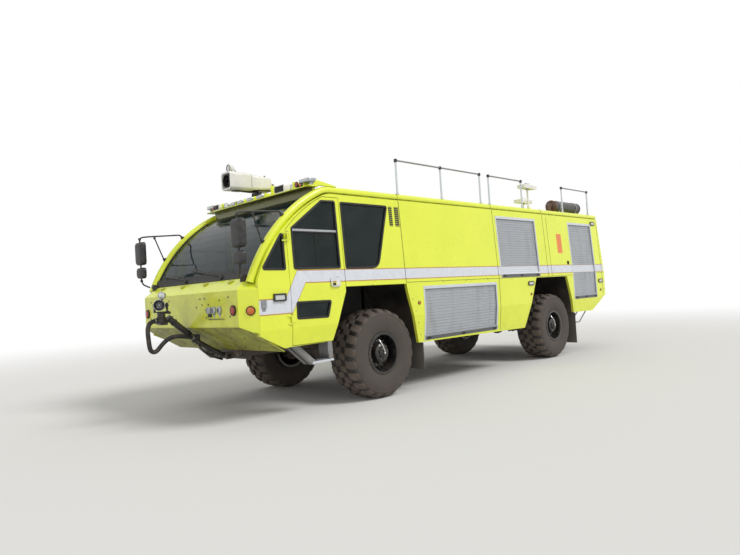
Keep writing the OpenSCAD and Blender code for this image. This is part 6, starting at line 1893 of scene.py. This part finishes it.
class MakeRoof(bpy.types.Operator):
    """Rail feet and caps, mast lamps, silencer straps, hatches and seams on the roof"""
    bl_idname = "truck.make_roof"
    bl_label = "Roof fittings"

    def execute(self, context):
        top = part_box("railings")[1].z - 0.019
        bm_post, bm_rail, bm_foot = bmesh.new(), bmesh.new(), bmesh.new()
        low = TUBE_Z + TUBE_R
        rise = (top - low) / MM - 20
        for _, side in SIDES:
            for group in RAIL_GROUPS:
                for x in group:
                    p = Vector((FRONT_X + x * MM, side * TUBE_Y, low + 0.0003))
                    turned(bm_post, [(0, 0), (17, 0), (17, rise), (0, rise)], p, (0, 0, 1), 20)
                    turned(bm_post, [(17.5, 0), (30, 0), (30, 4), (22, 10), (21, 40), (17.5, 42)],
                           p, (0, 0, 1), 24)
                    turned(bm_foot, [(17.5, -30), (26, -30), (27, 16), (20, 24), (0, 25)],
                           Vector((p.x, p.y, top)), (0, 0, 1), 24)
                a, b = FRONT_X + group[0] * MM + 0.02, FRONT_X + group[-1] * MM - 0.02
                sweep(bm_rail, [(a, side * TUBE_Y, top), (b, side * TUBE_Y, top)], 14, 16)
                for x in (a, b):
                    turned(bm_foot, [(14.5, -20), (18.5, -20), (18.5, 4), (0, 5)], (x, side * TUBE_Y, top),
                           (1 if x == a else -1, 0, 0), 16)
        posts = piece("rail_posts", bm_post, "rail_tube")
        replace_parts(posts, "railings")
        piece("rail_tops", bm_rail, "galvanised")
        piece("rail_fittings", bm_foot, "black_plastic")
        # Thin dark joints in the roof tubes
        bm = bmesh.new()
        r = TUBE_R / MM
        for _, side in SIDES:
            for x in (-490, -3050, -4900):
                turned(bm, [(r - 2, -5), (r + 1.5, -4), (r + 1.5, 4), (r - 2, 5)],
                       at(x, side * TUBE_Y / MM, TUBE_Z / MM), (1, 0, 0), 32)
        piece("roof_tube_joints", bm, "seal_rubber")
        self.masts()
        self.silencer()
        self.deck()
        return {"FINISHED"}

    def masts(self):
        """White lamp heads with lenses and handles on the two masts"""
        for name, x, y, z in (("front", -4870, TUBE_Y / MM - 210, 3600), ("rear", -5580, 640, 3420)):
            body = "mast_" + name
            bm = bmesh.new()
            outline = rectangle(-252, 252, -87, 87, 6)
            centre = at(x, y, z)
            loft(bm, [[centre + mm(p.x * k, p.y * k, h) for p in outline]
                      for h, k in ((20, 0.994), (24, 1.0), (54, 1.0), (61.8, 0.995))])
            piece("mast_head_" + name, bm, "white_enamel", body)
            bm = bmesh.new()
            loft(bm, [[centre + mm(p.x * k, p.y * k, h) for p in outline]
                      for h, k in ((-9.5, 0.90), (0, 0.96), (22.5, 0.965))])
            piece("mast_lamp_case_" + name, bm, "lining", body)
            bm = bmesh.new()
            for dx in (-155, 155):
                turned(bm, [(55, -12), (50, -16), (20, -18), (0, -18)], centre + mm(dx, 0, 0), (0, 0, 1), 24)
                turned(bm, [(55, -4), (0, -4)], centre + mm(dx, 0, 0), (0, 0, 1), 24)
            piece("mast_lamp_lens_" + name, bm, "clear_lens", body)
            bm = bmesh.new()
            path = bent_path([centre + mm(-100, 0, 58), centre + mm(-70, 0, 104), centre + mm(70, 0, 104),
                              centre + mm(100, 0, 58)], 50)
            sweep(bm, path, 9, 12)
            turned(bm, [(34, -22), (34, -14), (28, -9.5)], centre, (0, 0, 1), 24)
            piece("mast_handle_" + name, bm, "black_plastic", body)

    def silencer(self):
        """Drum, pipes and straps of the exhaust silencer"""
        x0, x1 = REAR_X - 2.02, REAR_X - 0.82
        y, z = TUBE_Y - 0.300, TUBE_Z + 0.235
        bm = bmesh.new()
        r = 135
        turned(bm, [(0, -12), (75, -10), (118, 6), (r, 16), (r, 30), (r - 4, 34), (r - 4, 1166), (r, 1170),
                    (r, 1184), (118, 1194), (75, 1210), (0, 1212)], (x0, y, z), (1, 0, 0), 48)
        made = piece("silencer_drum", bm, "heated_steel")
        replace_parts(made, "muffler")
        bm = bmesh.new()
        sweep(bm, bent_path([(x1 - 0.01, y, z), (x1 + 0.10, y, z), (x1 + 0.10, y, z - 0.20)], 100), 57, 28)
        turned(bm, [(57, -8), (72, -8), (72, 4), (57, 6)], (x1 + 0.03, y, z), (1, 0, 0), 28)
        turned(bm, [(40, 0), (60, 0), (60, 90), (52, 90), (52, 20), (0, 20)],
               (x0 + 0.01, y, z), (-1, 0, 0), 28)
        piece("silencer_pipes", bm, "heated_steel")
        bm = bmesh.new()
        for x in (REAR_X - 1.05, REAR_X - 1.80):
            turned(bm, [(r - 3, -22), (r + 1.5, -22), (r + 1.5, 22), (r - 3, 22)], (x, y, z), (1, 0, 0), 48)
            for dy in (-0.088, 0.088):
                block(bm, (x - 0.026, y + dy - 0.006, EAVE_Z + 0.0305),
                      (x + 0.026, y + dy + 0.006, z - 0.075), 2)
            block(bm, (x - 0.030, y - 0.100, EAVE_Z + 0.0303), (x + 0.030, y + 0.100, EAVE_Z + 0.042), 3)
            turned(bm, [(10, -30), (10, 30)], (x, y + (r + 3) * MM, z), (1, 0, 0), 12)
        piece("silencer_straps", bm, "galvanised")

    def deck(self):
        """Walkway strips, hatches with hinges and a low aerial on the roof"""
        top = (EAVE_Z + 0.030) / MM
        bm = bmesh.new()
        for x0, x1, y0, y1 in ((-1500, -700, -500, 500), (-2900, -2100, -500, 500), (-4300, -3500, -500, 300),
                               (-7150, -6100, -850, 500)):
            block(bm, at(x0, y0, top + 0.5), at(x1, y1, top + 22), 10)
            for y in (y0 + 120, y1 - 120):
                block(bm, at(x1 - 4, y - 40, top + 0.5), at(x1 + 34, y + 40, top + 16), 4)
        piece("roof_hatches", bm, "enamel")
        bm = bmesh.new()
        for y in (-1060, 900):
            for k in range(22):
                x = -620 - k * 200
                block(bm, at(x - 176, y - 110, top + 0.5), at(x, y + 110, top + 3.5), 1)
        piece("walkway_grip_pads", bm, "flap_rubber")
        bm = bmesh.new()
        for x, y in ((560, 560), (300, -800)):
            turned(bm, [(0, 0.5), (40, 0.5), (38, 20), (16, 34), (7, 40), (5, 300), (0, 302)],
                   at(x, y, top), (0, 0, 1), 20)
        piece("roof_aerials", bm, "black_plastic")


class FinishFrame(bpy.types.Operator):
    """Real finishes for the CAD nodes that stay as they are"""
    bl_idname = "truck.finish_frame"
    bl_label = "Paint and metal"

    def execute(self, context):
        for finish, names in NODE_FINISHES.items():
            for name in names:
                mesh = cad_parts[name].data
                mesh.materials.clear()
                mesh.materials.append(FINISHES[finish])
        return {"FINISHED"}


CLASSES = (TruckPaint, TruckTrim, TruckStage, SetStage, MakeHose, MakeTyres, MakeWheels, MakeWindows,
           MakeDoors, MakeNose, MakeLamps, MakeBodySides, MakeSteps, MakeCab, MakeRear, MakeMirrors,
           MakeLightBar, MakeTurret, MakeMonitor, MakeRoof, FinishFrame)
STEPS = [c for c in CLASSES if issubclass(c, bpy.types.Operator)]


class TruckPanel(bpy.types.Panel):
    """Lists the truck's settings and its making steps"""
    bl_idname = "VIEW3D_PT_truck"
    bl_label = "Fire truck"
    bl_space_type = "VIEW_3D"
    bl_region_type = "UI"
    bl_category = "Fire truck"

    def draw(self, context):
        for group in (context.scene.truck_paint, context.scene.truck_trim, context.scene.truck_stage):
            box = self.layout.box()
            for key in group.bl_rna.properties.keys():
                if key not in ("rna_type", "name"):
                    box.prop(group, key)
        for step in STEPS:
            self.layout.operator(step.bl_idname)


def register():
    for made in CLASSES + (TruckPanel,):
        bpy.utils.register_class(made)
    bpy.types.Scene.truck_paint = bpy.props.PointerProperty(type=TruckPaint)
    bpy.types.Scene.truck_trim = bpy.props.PointerProperty(type=TruckTrim)
    bpy.types.Scene.truck_stage = bpy.props.PointerProperty(type=TruckStage)


def unregister():
    for made in reversed(CLASSES + (TruckPanel,)):
        bpy.utils.unregister_class(made)
    del bpy.types.Scene.truck_paint, bpy.types.Scene.truck_trim, bpy.types.Scene.truck_stage


def main():
    register()
    make_finishes()
    for step in STEPS:
        group, name = step.bl_idname.split(".")
        getattr(getattr(bpy.ops, group), name)()


if __name__ == "__main__":
    main()
